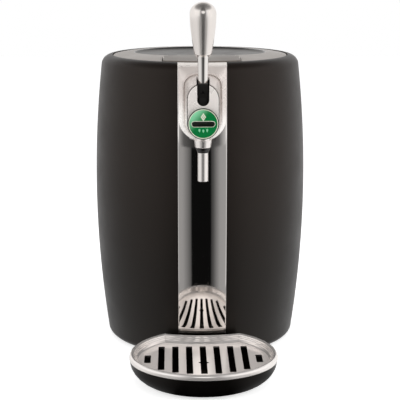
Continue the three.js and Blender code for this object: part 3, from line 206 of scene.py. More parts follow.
WARM = {"Specular IOR Level": 0.28, "Specular Tint": (1, 0.91, 0.84, 1)}
WARM_LID = {"Specular Tint": (1, 0.92, 0.86, 1)}
SHELL_GRAIN = (1800, 0.1)
NO_GRAIN = (400, 0)
LID_FINISH = {"rough": (0.3, 0.4), "grain": SHELL_GRAIN, "specular": WARM_LID}
PLATED = {"grain": NO_GRAIN, "tone": (60, 0.03)}
PRINTED = {"grain": NO_GRAIN, "tone": (300, 0.05)}
satin_black = surface("satin_black", colour(22, 16, 13), (0.34, 0.42), SHELL_GRAIN, specular=WARM)
lid_grey = surface("lid_grey", colour(48, 44, 40), **LID_FINISH)
latch_grey = surface("latch_grey", colour(108, 101, 95), **LID_FINISH)
# A lighter copy of lid_grey: painted light on the lid's upward-facing ring, as if lit from above
lid_painted_light = surface("lid_painted_light", colour(143, 136, 130), **LID_FINISH)
# A pale copy of the lid's finish, a painted highlight along the latch's bevelled edge
latch_painted_highlight = surface("latch_painted_highlight", colour(205, 198, 191), **LID_FINISH)
chrome = surface("chrome_plate", colour(246, 241, 237), (0.03, 0.06), metal=1, **PLATED)
satin_chrome = surface("satin_chrome", colour(240, 233, 228), (0.12, 0.18), metal=0.9, **PLATED)
spout_chrome = surface("spout_chrome", colour(246, 240, 236), (0.06, 0.1), metal=0.85, **PLATED)
silver = surface("satin_silver", colour(248, 241, 236), (0.24, 0.32), metal=0.3, **PLATED)
# A darker copy of the satin silver, painted shade over the nose; the gradient below paints light on its lower
# part
nose_silver_painted_shading = surface("nose_silver_painted_shading", colour(210, 201, 196), (0.24, 0.32), metal=0.3, **PLATED)
grille_chrome = surface(
    "grille_chrome", colour(246, 238, 233), (0.12, 0.2), NO_GRAIN, metal=0.4, tone=(60, 0.04)
)
pan_chrome = surface("pan_chrome", colour(246, 240, 236), (0.06, 0.1), metal=0.7, **PLATED)
# Painted shade for the walls of the grille's slots
slot_wall_shade = surface("slot_wall_shade", colour(34, 31, 29), (0.35, 0.5), (900, 0.02), metal=0.3)
matte_black = surface("matte_black", colour(22, 20, 18), (0.45, 0.6), (1500, 0.2))
gloss_black = surface("gloss_black", colour(12, 11, 10), (0.12, 0.2), (900, 0.02))
rubber = surface("soft_rubber", colour(20, 20, 20), (0.75, 0.9), (900, 0.4))
enamel = surface("green_enamel", colour(10, 112, 56), (0.1, 0.16), (300, 0.01))
rim_green = surface("rim_green", colour(8, 40, 24), (0.15, 0.25), (600, 0.02))
aluminium = surface("drawn_aluminium", colour(190, 192, 194), (0.3, 0.45), (700, 0.15), metal=1)
steel = surface("turned_steel", colour(165, 166, 168), (0.22, 0.35), (1200, 0.1), metal=1)
cream = surface("badge_cream", colour(222, 226, 206), (0.2, 0.3), **PRINTED)
leaf_green = surface("leaf_green", colour(122, 196, 152), (0.2, 0.3), **PRINTED)
band_black = surface("band_black", colour(18, 22, 16), (0.15, 0.22), **PRINTED)
foam = surface("expanded_foam", colour(236, 233, 226), (0.85, 0.95), (350, 0.6))
ceramic = surface("white_ceramic", colour(240, 238, 230), (0.4, 0.5), (800, 0.1))
circuit = surface("circuit_lacquer", colour(28, 92, 52), (0.3, 0.45), (600, 0.2), tone=(400, 0.5))


def graded(material, other, towards, start, full):
    """Turns the base colour into another one along a direction, to paint light and shade onto a material.

    The change runs from start to full, as values of the place in metres multiplied by the direction.
    """
    tree = material.node_tree
    coords = tree.nodes.new("ShaderNodeTexCoord")
    slant = tree.nodes.new("ShaderNodeVectorMath")
    slant.operation = "DOT_PRODUCT"
    slant.inputs[1].default_value = towards
    reach = tree.nodes.new("ShaderNodeMapRange")
    reach.interpolation_type = "SMOOTHSTEP"
    reach.inputs["From Min"].default_value = start
    reach.inputs["From Max"].default_value = full
    mix = tree.nodes.new("ShaderNodeMix")
    mix.data_type = "RGBA"
    tint = next(node for node in tree.nodes if node.type == "GROUP" and node.node_tree == TONE)
    mix.inputs["A"].default_value = tint.inputs["Color"].default_value
    mix.inputs["B"].default_value = other
    tree.links.new(coords.outputs["Object"], slant.inputs[0])
    tree.links.new(slant.outputs["Value"], reach.inputs["Value"])
    tree.links.new(reach.outputs["Result"], mix.inputs["Factor"])
    tree.links.new(mix.outputs["Result"], tint.inputs["Color"])


# Painted light and shade: a painted highlight makes the glaze lighter at its upper left, painted light makes
# the silver nose lighter lower down, and painted shade darkens the black shells to their foot
graded(enamel, colour(140, 212, 168), (-0.75, 0, 0.66), 0.2076, 0.2246)
graded(nose_silver_painted_shading, colour(250, 246, 242), (-0.3, 0, -1), -0.34, -0.302)
graded(satin_black, colour(8, 6, 5), (0, 0, -1), -0.27, -0.05)

finishes = {
    "satin_black": satin_black,
    "lid_grey": lid_grey,
    "chrome_trim": chrome,
    "matte_black": matte_black,
    "rubber": rubber,
    "badge_enamel": enamel,
    "aluminium": aluminium,
    "steel": steel,
    "foam": foam,
    "ceramic": ceramic,
    "circuit_board": circuit,
}
for entry in frame["record"]["subparts"]:
    node = nodes[entry["node"]]
    node.data.materials.clear()
    node.data.materials.append(finishes[entry["material_slot"]])


# ---------------------------------------------------------------- modelling helpers
def spot(x, y, z):
    """A place given in millimetres from the barrel's axis."""
    return Vector((x, y + AXIS_Y, z)) * MM


def begin(name):
    """An empty mesh at the origin, open in edit mode, to draw a piece in."""
    if bpy.context.object and bpy.context.object.mode != "OBJECT":
        bpy.ops.object.mode_set(mode="OBJECT")
    bpy.ops.object.select_all(action="DESELECT")
    bpy.ops.mesh.primitive_plane_add(size=MM, location=(0, 0, 0))
    obj = bpy.context.object
    obj.name = name
    bpy.ops.object.mode_set(mode="EDIT")
    bpy.ops.mesh.delete(type="VERT")
    return obj


def pick(obj, wanted):
    """Selects the vertices that a test accepts, and the edges and faces between them."""
    shape = bmesh.from_edit_mesh(obj.data)
    shape.verts.index_update()
    bpy.ops.mesh.select_all(action="DESELECT")
    for v in shape.verts:
        if wanted(v):
            v.select = True
    shape.select_flush(True)
    bmesh.update_edit_mesh(obj.data)


def chain(obj, points, closed=True):
    """Draws a line of edges through points, each vertex extruded from the last."""
    first = len(bmesh.from_edit_mesh(obj.data).verts)
    bpy.ops.mesh.select_all(action="DESELECT")
    bpy.ops.mesh.primitive_plane_add(size=MM, location=points[0])
    bpy.ops.mesh.merge(type="CENTER")
    for a, b in zip(points, points[1:]):
        bpy.ops.mesh.extrude_region_move(TRANSFORM_OT_translate={"value": b - a})
    if closed:
        last = first + len(points) - 1
        pick(obj, lambda v: v.index in (first, last))
        bpy.ops.mesh.edge_face_add()
    return range(first, first + len(points))


def end(obj, material, angle=32, bevel=0):
    """Closes edit mode, makes the faces look outward and smooths what isn't an edge."""
    if obj.mode == "EDIT":
        bpy.ops.mesh.select_all(action="SELECT")
        bpy.ops.mesh.remove_doubles(threshold=0.001 * MM)
        bpy.ops.mesh.normals_make_consistent(inside=False)
        bpy.ops.object.mode_set(mode="OBJECT")
    bpy.ops.object.select_all(action="DESELECT")
    obj.select_set(True)
    bpy.context.view_layer.objects.active = obj
    if bevel:
        edge = obj.modifiers.new("edge", "BEVEL")
        edge.width = bevel * MM
        edge.segments = 2
        edge.limit_method = "ANGLE"
        edge.angle_limit = math.radians(35)
        edge.use_clamp_overlap = True
        bpy.ops.object.modifier_apply(modifier="edge")
    if material:
        obj.data.materials.clear()
        obj.data.materials.append(material)
    bpy.ops.object.shade_smooth_by_angle(angle=math.radians(angle))
    return obj


def turned(name, profile, steps, material=None, centre=(0, 0), closed=True, sweep=(0, 360), axis="Z", **more):
    """Spins a drawn profile of [radius, level] about an upright line, or about one that runs to the front."""
    obj = begin(name)
    first = math.radians(sweep[0])
    if axis == "Z":
        x, y = centre
        points = [spot(x + r * math.sin(first), y - r * math.cos(first), z) for r, z in profile]
        hub, line = spot(x, y, 0), (0, 0, 1)
    else:
        x, z = centre
        points = [spot(x + r, -depth, z) for r, depth in profile]
        hub, line = spot(x, 0, z), (0, 1, 0)
    chain(obj, points, closed)
    bpy.ops.mesh.select_all(action="SELECT")
    bpy.ops.mesh.spin(steps=steps, angle=math.radians(sweep[0] - sweep[1]), center=hub, axis=line)
    return end(obj, material, **more)


def lofted(name, rings):
    """Draws each ring of points, bridges it to the next and fills the two ends."""
    obj = begin(name)
    drawn = [chain(obj, ring) for ring in rings]
    for a, b in zip(drawn, drawn[1:]):
        pick(obj, lambda v: v.index in a or v.index in b)
        bpy.ops.mesh.bridge_edge_loops()
    for ring in (drawn[0], drawn[-1]):
        pick(obj, lambda v: v.index in ring)
        bpy.ops.mesh.edge_face_add()
    return end(obj, None)


def prism(name, outline, move, material=None, **more):
    """A drawn outline, filled and extruded by a move in millimetres."""
    obj = begin(name)
    chain(obj, outline)
    bpy.ops.mesh.select_all(action="SELECT")
    bpy.ops.mesh.edge_face_add()
    bpy.ops.mesh.extrude_region_move(TRANSFORM_OT_translate={"value": Vector(move) * MM})
    return end(obj, material, **more)


def rod(name, start, length, centre, radius, sides):
    """A round tool along x. The centre is [y, z] from the barrel's axis."""
    turn = 360 / sides
    ring = arc((0, 0), radius, 0, 360 - turn, sides - 1)
    return prism(name, [spot(start, centre[0] + u, centre[1] + v) for u, v in ring], (length, 0, 0))


def block(low, high):
    """A box between two corners, in millimetres from the barrel's axis."""
    a, b = spot(*low), spot(*high)
    corners = [(a.x, a.y), (b.x, a.y), (b.x, b.y), (a.x, b.y)]
    obj = begin("tool")
    chain(obj, [Vector((x, y, a.z)) for x, y in corners])
    bpy.ops.mesh.select_all(action="SELECT")
    bpy.ops.mesh.edge_face_add()
    bpy.ops.mesh.extrude_region_move(TRANSFORM_OT_translate={"value": (0, 0, b.z - a.z)})
    return end(obj, None)


def carve(obj, *tools, how="DIFFERENCE"):
    """Applies each tool to a piece and removes the tool."""
    for tool in tools:
        bpy.ops.object.select_all(action="DESELECT")
        bpy.context.view_layer.objects.active = obj
        obj.select_set(True)
        change = obj.modifiers.new("carve", "BOOLEAN")
        change.operation = how
        change.solver = "EXACT"
        change.object = tool
        bpy.ops.object.modifier_apply(modifier="carve")
        bpy.data.objects.remove(tool)
    return obj


def copied(obj, name):
    """A copy with its own mesh."""
    bpy.ops.object.select_all(action="DESELECT")
    obj.select_set(True)
    bpy.context.view_layer.objects.active = obj
    bpy.ops.object.duplicate(linked=False)
    twin = bpy.context.object
    twin.name = name
    return twin


def halved(obj, place, normal):
    """Cuts a piece along a plane, keeps what lies behind it and fills the cut."""
    bpy.ops.object.select_all(action="DESELECT")
    obj.select_set(True)
    bpy.context.view_layer.objects.active = obj
    bpy.ops.object.mode_set(mode="EDIT")
    bpy.ops.mesh.select_all(action="SELECT")
    bpy.ops.mesh.bisect(plane_co=spot(*place), plane_no=normal, use_fill=True, clear_outer=True)
    bpy.ops.object.mode_set(mode="OBJECT")
    return obj


def paint(obj, material, wanted):
    """Gives one more material to the faces whose middle a test accepts."""
    obj.data.materials.append(material)
    for face in obj.data.polygons:
        if wanted(face.center):
            face.material_index = len(obj.data.materials) - 1


def even(obj):
    """Lets the large faces rule the shading, so that the slivers of a cut don't show."""
    shading = obj.modifiers.new("even", "WEIGHTED_NORMAL")
    shading.keep_sharp = True
    bpy.context.view_layer.objects.active = obj
    bpy.ops.object.modifier_apply(modifier="even")
    return obj


def stands_for(obj, node, body):
    """Lets a finished piece take a CAD node's place and ride on that node's body."""
    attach(obj, body)
    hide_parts(node)
    return obj


def arc(centre, radius, start, stop, count):
    """Points [u, v] on an arc, angles in degrees."""
    turns = [math.radians(start + (stop - start) * i / count) for i in range(count + 1)]
    return [(centre[0] + radius * math.cos(t), centre[1] + radius * math.sin(t)) for t in turns]


# ---------------------------------------------------------------- barrel
# Sizes are in millimetres. Widths and depths start at the barrel's axis, levels at the counter.
FIT = 0.3
RADIUS, WAIST, ARC = 138.6, 205, 1390
TOP, BOTTOM = 378, 2.5
SHOULDER = (14.5, 13)
BOTTOM_ROUND = 8.5
WALL, LIP = 3, 2.2
SEAM_DEPTH, SEAM_GAP = 6, 0.9
STRIP_HALF, STRIP_LOW, STRIP_TOP = 30, 35.3, 377.4
STRIP_WALL, STRIP_PROUD = 2.2, 0.7
STRIP_HIGHLIGHT_FROM = 371  # the level above which the strip is painted satin silver, not polished, as a painted highlight along its top lip
FRONT_SWEEP = (-17, 17)  # degrees of the barrel that the strip is spun over, before it is cut to width
TAP_OPENING, NOSE_SLOT = ((-16, 293), (16, 361)), ((-7.8, 329.3), (7.8, 380))
REAR_OPENING_HALF, REAR_OPENING_LOW, REAR_OPENING_TOP = 74.3, 19.5, 322.3
HINGE_NOTCH_HALF = 41.3
HALF_SEAM = 0.15  # each shell stays this far from the middle


def side(level):
    """The barrel's radius at a level."""
    return RADIUS - (level - WAIST) ** 2 / (2 * ARC)


SHOULDER_LEVEL = TOP - SHOULDER[1]
SEAM = side(SHOULDER_LEVEL) - SHOULDER[0]
LID = SEAM - SEAM_GAP


def barrel_outline(inset, sides, rounds):
    """The barrel's profile from its bottom round to its shoulder, moved inwards by the inset."""
    level = BOTTOM + BOTTOM_ROUND
    reach = BOTTOM_ROUND - inset
    points = arc((side(level) - BOTTOM_ROUND, level), reach, -90, 0, rounds)
    for i in range(1, sides):
        z = level + i / sides * (SHOULDER_LEVEL - level)
        points.append((side(z) - inset, z))
    for i in range(rounds + 1):
        t = math.radians(90 * i / rounds)
        out, up = (SHOULDER[0] - inset) * math.cos(t), (SHOULDER[1] - inset) * math.sin(t)
        points.append((SEAM + out, SHOULDER_LEVEL + up))
    return points


inside = [p for p in barrel_outline(WALL, 8, 4) if p[1] < SHOULDER_LEVEL or p[0] > SEAM + LIP]
lip = [(SEAM, TOP - 0.4), (SEAM, TOP - SEAM_DEPTH), (SEAM + LIP, TOP - SEAM_DEPTH), (SEAM + LIP, TOP - WALL)]
outside = barrel_outline(0, 26, 9)
outside[-1] = (SEAM + 0.4, TOP)
shell = turned("shells", outside + lip + inside[::-1], 160)
carve(
    shell,
    block((-STRIP_HALF - FIT, -300, -1), (STRIP_HALF + FIT, 0, TOP + 1)),
    block((-REAR_OPENING_HALF, 0, REAR_OPENING_LOW), (REAR_OPENING_HALF, 300, REAR_OPENING_TOP)),
    block((-HINGE_NOTCH_HALF, 0, TOP - SEAM_DEPTH), (HINGE_NOTCH_HALF, 300, TOP + 1)),
)
for name, sign in (("left", -1), ("right", 1)):
    half = halved(copied(shell, name + "_shell_skin"), (sign * HALF_SEAM, 0, 0), (-sign, 0, 0))
    stands_for(end(half, satin_black), name + "_shell", "housing")
bpy.data.objects.remove(shell)

# Chrome strip and the black skirting below it
strip_sides = (((-STRIP_HALF, 0, 0), (-1, 0, 0)), ((STRIP_HALF, 0, 0), (1, 0, 0)))
skin = barrel_outline(-STRIP_PROUD, 30, 10) + barrel_outline(STRIP_WALL - STRIP_PROUD, 12, 5)[::-1]
strip = turned("strip", skin, 40, sweep=FRONT_SWEEP)
for place, normal in (*strip_sides, ((0, 0, STRIP_LOW), (0, 0, -1)), ((0, 0, STRIP_TOP), (0, 0, 1))):
    halved(strip, place, normal)
(left, low), (right, high) = TAP_OPENING
carve(strip, block((left, -300, low), (right, 0, high)))
end(strip, chrome, bevel=0.35)
# Painted highlight: the strip's top is satin silver, so that it reads as a bright lip
paint(strip, silver, lambda p: p.z > STRIP_HIGHLIGHT_FROM * MM)
stands_for(strip, "chrome_strip", "housing")

skin = barrel_outline(0, 20, 8) + barrel_outline(STRIP_WALL - STRIP_PROUD, 8, 4)[::-1]
dock = turned("skirting", skin, 30, sweep=FRONT_SWEEP)
for place, normal in (*strip_sides, ((0, 0, STRIP_LOW - FIT), (0, 0, 1))):
    halved(dock, place, normal)
stands_for(end(dock, satin_black), "tray_dock", "housing")

# ---------------------------------------------------------------- tap
TAP, PLATE_FRONT, PLATE_THICK, BADGE = 163, 176, 1.6, 311.5
NOSE_FRONT = PLATE_FRONT - PLATE_THICK - FIT
NOSE_WALL, NOSE_SLOT_BACK, SPOUT_SOCKET, SPOUT_BORE = 2.4, 155.4, 9.1, 4.2
ROOT_LEVEL = 313


def nose_section(reach, half, top, low, arch, inset, count=72):
    """One section of the nose: a near rectangle on a round foot for arch 0, a tall arch for arch 1."""
    power = 0.12 + 0.88 * arch
    shoulder = top - inset - (half - inset) * power
    ring = []
    for i in range(count):
        t = 2 * math.pi * i / count
        c, s = math.cos(t), math.sin(t)
        bend = power if s > 0 else 1
        x = (half - inset) * math.copysign(abs(c) ** bend, c)
        rise = (top - inset - shoulder) if s > 0 else half - inset
        z = (shoulder if s > 0 else low) + rise * math.copysign(abs(s) ** bend, s)
        ring.append(spot(x, -reach, z))
    return ring


def nose_rings(inset, front, root, channel=()):
    """The sections from the strip to the front. A channel lists its own sections as reach, half and top."""
    knee = BADGE + (ROOT_LEVEL - BADGE) / 2
    sections = [
        (root, 29.6, 375.2, ROOT_LEVEL, 0),
        (134, 29.6, 375.2, ROOT_LEVEL, 0),
        (136, 29.2, 374.8, ROOT_LEVEL, 0.02),
        (139.5, 25.4, 370.4, ROOT_LEVEL - (ROOT_LEVEL - BADGE) / 3, 0.5),
        (142, 24, 368.6, knee, 0.7),
        *[(*section, knee, 0.75) for section in channel],
        (152, 21, 365.5, knee, 0.8),
        (153.4, 20.9, 365, knee, 0.81),
        (front, 19.6, 359.8, BADGE, 1),
    ]
    return [nose_section(*section, inset) for section in sections]


CHANNEL = (
    (148.4, 23.1, 367.4), (147.5, 22.7, 367), (147.1, 22.1, 366.5), (147.5, 21.5, 366), (148.4, 21.2, 365.7),
)
nose = lofted("nose", nose_rings(0, NOSE_FRONT, 114.5, CHANNEL))
grown = barrel_outline(-STRIP_PROUD - FIT, 20, 6)
trim = turned("trim", [(0, grown[0][1])] + grown + [(0, grown[-1][1])], 96, closed=False)
carve(nose, trim, lofted("hollow", nose_rings(NOSE_WALL, NOSE_FRONT - NOSE_WALL, 110)))
(left, low), (right, high) = NOSE_SLOT
carve(nose, block((left, -PLATE_FRONT, low), (right, -NOSE_SLOT_BACK, high)))
socket = [(0, 250), (SPOUT_SOCKET, 250), (SPOUT_SOCKET, BADGE), (0, BADGE)]
carve(nose, turned("hole", socket, 48, centre=(0, -TAP), closed=False))
stands_for(even(end(nose, nose_silver_painted_shading, angle=40, bevel=0.5)), "tap_nose", "housing")


def capsule(half, top, low, count=24):
    """An upright outline [x, z] with round ends. Its top is the level given, its foot is round about low."""
    return arc((0, top - half), half, 0, 180, count) + arc((0, low), half, 180, 360, count)


PLATE, PLATE_SLOT = (18.2, 358, BADGE), (7.2, 372.4, 339.2)
GROOVE_SHADE, GROOVE_SHADE_SLOT = (18.9, 358.7, BADGE), (7.6, 372.4, 338.8)
plate = prism("plate", [spot(x, -PLATE_FRONT, z) for x, z in capsule(*PLATE)], (0, PLATE_THICK, 0))
carve(plate, prism("slot", [spot(x, -PLATE_FRONT - 1, z) for x, z in capsule(*PLATE_SLOT)], (0, 4, 0)))
stands_for(even(end(plate, silver, bevel=0.35)), "tap_plate", "housing")
# A thin black sheet just wider than the plate, behind its edge: painted shade of the groove between plate and
# nose
groove_shade = prism("plate_groove_shade", [spot(x, -NOSE_FRONT - 0.25, z) for x, z in capsule(*GROOVE_SHADE)], (0, 0.2, 0))
carve(groove_shade, prism("slot", [spot(x, -PLATE_FRONT, z) for x, z in capsule(*GROOVE_SHADE_SLOT)], (0, 4, 0)))
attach(end(groove_shade, gloss_black), "housing")

badge_back = PLATE_FRONT + FIT
RIM_FROM = 17.75  # beyond this radius the ring is green
ENAMEL_HALF, ENAMEL_BACK, ENAMEL_EDGE, ENAMEL_RISE = 17.4, 1.1, 3.1, 1.1


def round_badge(name, profile, material, **more):
    """Spins a profile of [radius, height above the plate] about the badge's middle."""
    profile = [(r, badge_back + d) for r, d in profile]
    return turned(name, profile, 96, material, centre=(0, BADGE), axis="Y", **more)


ring = [(0, 0), (18.1, 0), (18.5, 0.4), (18.5, 3.7), (18.3, 4.1), (18, 4.2), (17.7, 4), (17.7, 1), (0, 1)]
ring = round_badge("ring", ring, silver, closed=False)
paint(ring, rim_green, lambda p: math.hypot(p.x, p.z - BADGE * MM) > RIM_FROM * MM)
stands_for(ring, "badge_ring", "housing")
dome = [(0, ENAMEL_BACK), (ENAMEL_HALF, ENAMEL_BACK), (ENAMEL_HALF, ENAMEL_EDGE)]
for t in (math.radians(a) for a in range(10, 90, 8)):
    dome.append((ENAMEL_HALF * math.cos(t), ENAMEL_EDGE + ENAMEL_RISE * math.sin(t)))
dome.append((0, ENAMEL_EDGE + ENAMEL_RISE))
stands_for(round_badge("dome", dome, enamel, closed=False), "badge_dome", "housing")

# Handle: a hollow foot, a stem that widens upwards, a soft step, a long taper and a ball, as [radius, level]
FOOT_TOP, STEP_LEVEL = 352, 391
NECK, TAPER_LOW = 10.8, 393.5
BALL, BALL_LEVEL, HANDLE_TOP = 15.8, 439.5, 453
handle = [(0, 360.3), (2.7, 360.3), (2.7, 346), (5.3, 346), (5.5, 346.3)]
handle += [(5.6 + 0.9 * (i / 8) ** 1.3, 348 + 37.5 * i / 8) for i in range(9)]
handle += [(6.7, 387.5), (7.4, 389.2), (9.3, STEP_LEVEL), (10.3, 392), (10.7, 393)]
for share in (i / 15 for i in range(1, 15)):
    swell = (BALL - NECK) * math.sin(math.radians(90 * share)) ** 1.15
    handle.append((NECK + swell, TAPER_LOW + (BALL_LEVEL - TAPER_LOW) * share))
for t in (math.radians(a) for a in range(0, 90, 6)):
    handle.append((BALL * math.cos(t), BALL_LEVEL + (HANDLE_TOP - BALL_LEVEL) * math.sin(t)))
handle.append((0, HANDLE_TOP))
handle = turned("handle", handle, 96, satin_chrome, centre=(0, -TAP), closed=False, angle=50)
paint(handle, chrome, lambda p: p.z < STEP_LEVEL * MM)
paint(handle, gloss_black, lambda p: p.z < FOOT_TOP * MM)
stands_for(handle, "tap_handle", "lever")

# Spout: a cone with a shoulder, a black collar and a tube, round one bore
for name, material, profile in (
    ("cone", spout_chrome, [(9.1, 281), (9.5, 281.4), (10.7, 290.1), (8.8, 290.1), (8.8, 296.9)]),
    ("collar", gloss_black, [(6.3, 274.8), (6.6, 275.1), (8.8, 280.4), (8.5, 280.7)]),
    ("tube", spout_chrome, [(6, 239.8), (6.3, 240.1), (6.3, 274.5)]),
):
    profile = [(SPOUT_BORE, profile[0][1])] + profile + [(SPOUT_BORE, profile[-1][1])]
    stands_for(turned(name, profile, 72, material, centre=(0, -TAP)), "spout_" + name, "housing")


# What lies on the enamel: a pale line round it, a bare dark band, a hop cone above and three leaves below
def on_dome(name, outline, lift, material, **more):
    """A flat shape [x, z] about the badge's centre, a little proud of the dome under its middle."""
    middle = sum(x for x, _ in outline) / len(outline), sum(z for _, z in outline) / len(outline)
    fall = math.sqrt(1 - (math.hypot(*middle) / ENAMEL_HALF) ** 2)
    depth = badge_back + ENAMEL_EDGE + ENAMEL_RISE * fall + lift
    return prism(name, [spot(x, -depth, BADGE + z) for x, z in outline], (0, 0.6, 0), material, **more)


def almond(x, z, wide, tall):
    """A leaf's outline [x, z], broad above and pointed below."""
    turns = [2 * math.pi * i / 18 for i in range(18)]
    return [(x + wide * math.sin(t) * (1 - 0.45 * math.cos(t)) / 1.1, z - tall * math.cos(t)) for t in turns]


def band_outline(half, tall, count=10):
    """A band's outline [x, z] with round ends."""
    return arc((half - tall, 0), tall, -90, 90, count) + arc((tall - half, 0), tall, 90, 270, count)


def merged(name, parts, material):
    """Joins parts into one piece."""
    bpy.ops.object.select_all(action="DESELECT")
    for part in parts:
        part.select_set(True)
    bpy.context.view_layer.objects.active = parts[0]
    bpy.ops.object.join()
    joined = bpy.context.object
    joined.name = name
    return end(joined, material)


HOP_ROWS = ((1, 11.6), (2, 10), (3, 8.2), (2, 6.4), (1, 4.9))  # scales in a row, and its height
scales = []
for count, level in HOP_ROWS:
    for i in range(count):
        scales.append(on_dome("scale", almond((i - (count - 1) / 2) * 2.2, level, 0.85, 1.15), 0.2, None))
leaves = [on_dome("leaf", almond(x, -8.4 + abs(x) * 0.15, 1.2, 2), 0.2, None) for x in (-4.6, 0, 4.6)]
line = [(16.7, 3.1), (17.5, 3.1), (17.5, 3.8), (17.3, 3.95), (16.9, 3.95), (16.7, 3.85)]
line = round_badge("badge_line", line, cream)
for part in (
    line,
    merged("hop_cone", scales, cream),
    merged("hop_leaves", leaves, leaf_green),
    on_dome("band_edge", band_outline(14.2, 3.7), 0.1, cream, bevel=0.08),
    on_dome("band", band_outline(13.7, 3.2), 0.25, band_black, bevel=0.08),
):
    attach(part, "housing")

# ---------------------------------------------------------------- lid and latch
HOOK_Y = SEAM - 11.9
PIVOT_Y, PIVOT_Z = HOOK_Y - 26, 377.9
HINGE_Y, HINGE_Z = SEAM + 5.1, 375
LATCH_HALF, LATCH_CORNER, LATCH_BACK, LATCH_BEVEL = 48, 7, PIVOT_Y - 5, 0.8
TAB_PROUD, TAB_THICK = 1.8, 3.2
DOME_TOP, DOME_DROP = 382, 4.7
DISH = (SEAM - 25.9, LATCH_BACK - 5)
DISH_SHADE_FROM = 379.74  # above this level the dish's slope is painted glossy black, a painted shade line round the dish
LID_RIM, LID_ROUND = LID - 2.5, 1.4
ARM_PLACE, ARM_WIDTH, KNUCKLE = 28, 8, 2.4


def dome_level(r):
    """The lid's height at a radius."""
    return DOME_TOP - DOME_DROP * (r / LID) ** 4


def latch_outline(grow):
    """The latch in plan, open at the lid's front edge, with two round corners behind."""
    half, back = LATCH_HALF + grow, -LATCH_BACK + grow
    right = arc((half - LATCH_CORNER, back - LATCH_CORNER), LATCH_CORNER, 0, 90, 8)
    left = arc((LATCH_CORNER - half, back - LATCH_CORNER), LATCH_CORNER, 90, 180, 8)
    return [(-half, -200), (half, -200)] + right + left


def dish_ring(inset, level, count=96):
    """An ellipse that lies inside the dish's edge by the inset."""
    turns = [2 * math.pi * i / count for i in range(count)]
    return [spot((DISH[0] - inset) * math.cos(t), (DISH[1] - inset) * math.sin(t), level) for t in turns]


dome_line = [(LID * (1 - i / 16), dome_level(LID * (1 - i / 16))) for i in range(17)]
profile = [(0, 375.5), (LID_RIM, 375.5), (LID_RIM, 366), (LID, 366)]
profile += arc((LID - LID_ROUND, 377.3 - LID_ROUND), LID_ROUND, 0, 80, 5)
profile += dome_line[1:16] + [(0, DOME_TOP)]
lid = turned("lid", profile, 144, closed=False)
dish = lofted("dish", [dish_ring(inset, level) for inset, level in (
    (9.5, 378.6), (7.2, 378.75), (5.6, 379.1), (4.2, 379.73), (1.6, 380.9),
    (0.6, 381.25), (0, 381.45), (-1.2, 381.6), (-1.2, 384),
)])
notch = prism("notch", [spot(x, y, 371) for x, y in latch_outline(1.1)], (0, 0, 13))
carve(lid, dish, notch)
carve(lid, rod("pin_room", -51.3, 102.6, (-PIVOT_Y, PIVOT_Z), 1.35, 16))
arms = []
root = math.sqrt(LID_RIM ** 2 - (ARM_PLACE + ARM_WIDTH / 2) ** 2)
for sign in (-1, 1):
    left = sign * ARM_PLACE - ARM_WIDTH / 2
    outline = [(root, HINGE_Z - KNUCKLE), (HINGE_Y, HINGE_Z - KNUCKLE)]
    outline += arc((HINGE_Y, HINGE_Z), KNUCKLE, -80, 70, 8) + [(HINGE_Y - 0.5, 377.3), (root, 377.3)]
    arms.append(prism("arm", [spot(left, y, z) for y, z in outline], (ARM_WIDTH, 0, 0)))
carve(lid, *arms, how="UNION")
carve(lid, rod("hole", -60, 120, (HINGE_Y, HINGE_Z), 1.6, 16))
# Painted light: the lid takes the lighter copy of its grey; the dish and the rim's outside get its own dark
# grey below
even(end(lid, lid_painted_light, angle=28))


def in_dish(p):
    """Inside the dish's edge and below the dome that it is cut from."""
    x, y, z = p.x / MM, p.y / MM - AXIS_Y, p.z / MM
    return math.hypot(x / DISH[0], y / DISH[1]) < 1 and 378 < z < dome_level(math.hypot(x, y)) - 0.03


paint(lid, lid_grey, lambda p: in_dish(p) or math.hypot(p.x, p.y - AXIS_Y * MM) > (LID + 0.3) * MM)
# Painted shade: the dish's steep slope is black, a dark line round its edge
paint(lid, gloss_black, lambda p: in_dish(p) and p.z > DISH_SHADE_FROM * MM)
stands_for(lid, "lid_shell", "lid")

# Latch tab: a skin that follows the dome, cut to its outline, with a hook below
skin = [(r, level + TAB_PROUD) for r, level in dome_line]
under = [(0, skin[-1][1] - TAB_THICK)] + [(r, level - TAB_THICK) for r, level in skin[-2::-1]]
rim = arc((LID - 1, skin[0][1] - 1), 1, 0, 75, 4)
tab = turned("tab", under + rim + skin[2:], 144, closed=False)
carve(tab, prism("outline", [spot(x, y, 360) for x, y in latch_outline(0)], (0, 0, 30)), how="INTERSECT")
boss = rod("boss", -41, 82, (-PIVOT_Y, PIVOT_Z), 2.6, 24)
hook_line = [
    (-HOOK_Y, 354.5), (-HOOK_Y + 3, 354.5), (-HOOK_Y + 3, 380),
    (-HOOK_Y, 380), (-HOOK_Y, 357.5), (-HOOK_Y - 3, 357.5),
]
hook = prism("hook", [spot(-9, y, z) for y, z in hook_line], (18, 0, 0))
carve(tab, boss, hook, how="UNION")
carve(tab, rod("bore", -60, 120, (-PIVOT_Y, PIVOT_Z), 1.5, 16))
even(end(tab, latch_grey, angle=28, bevel=LATCH_BEVEL))


def at_latch_edge(p):
    """On the bevel along the latch's back and sides."""
    across = max(abs(p.x) / MM - LATCH_HALF + LATCH_CORNER, 0)
    along = max(p.y / MM - AXIS_Y + LATCH_BACK + LATCH_CORNER, 0)
    return p.z > 376 * MM and LATCH_CORNER - LATCH_BEVEL < math.hypot(across, along) < LATCH_CORNER


# Painted highlight on the bevel round the latch's back and sides
paint(tab, latch_painted_highlight, at_latch_edge)
stands_for(tab, "latch_tab", "latch")

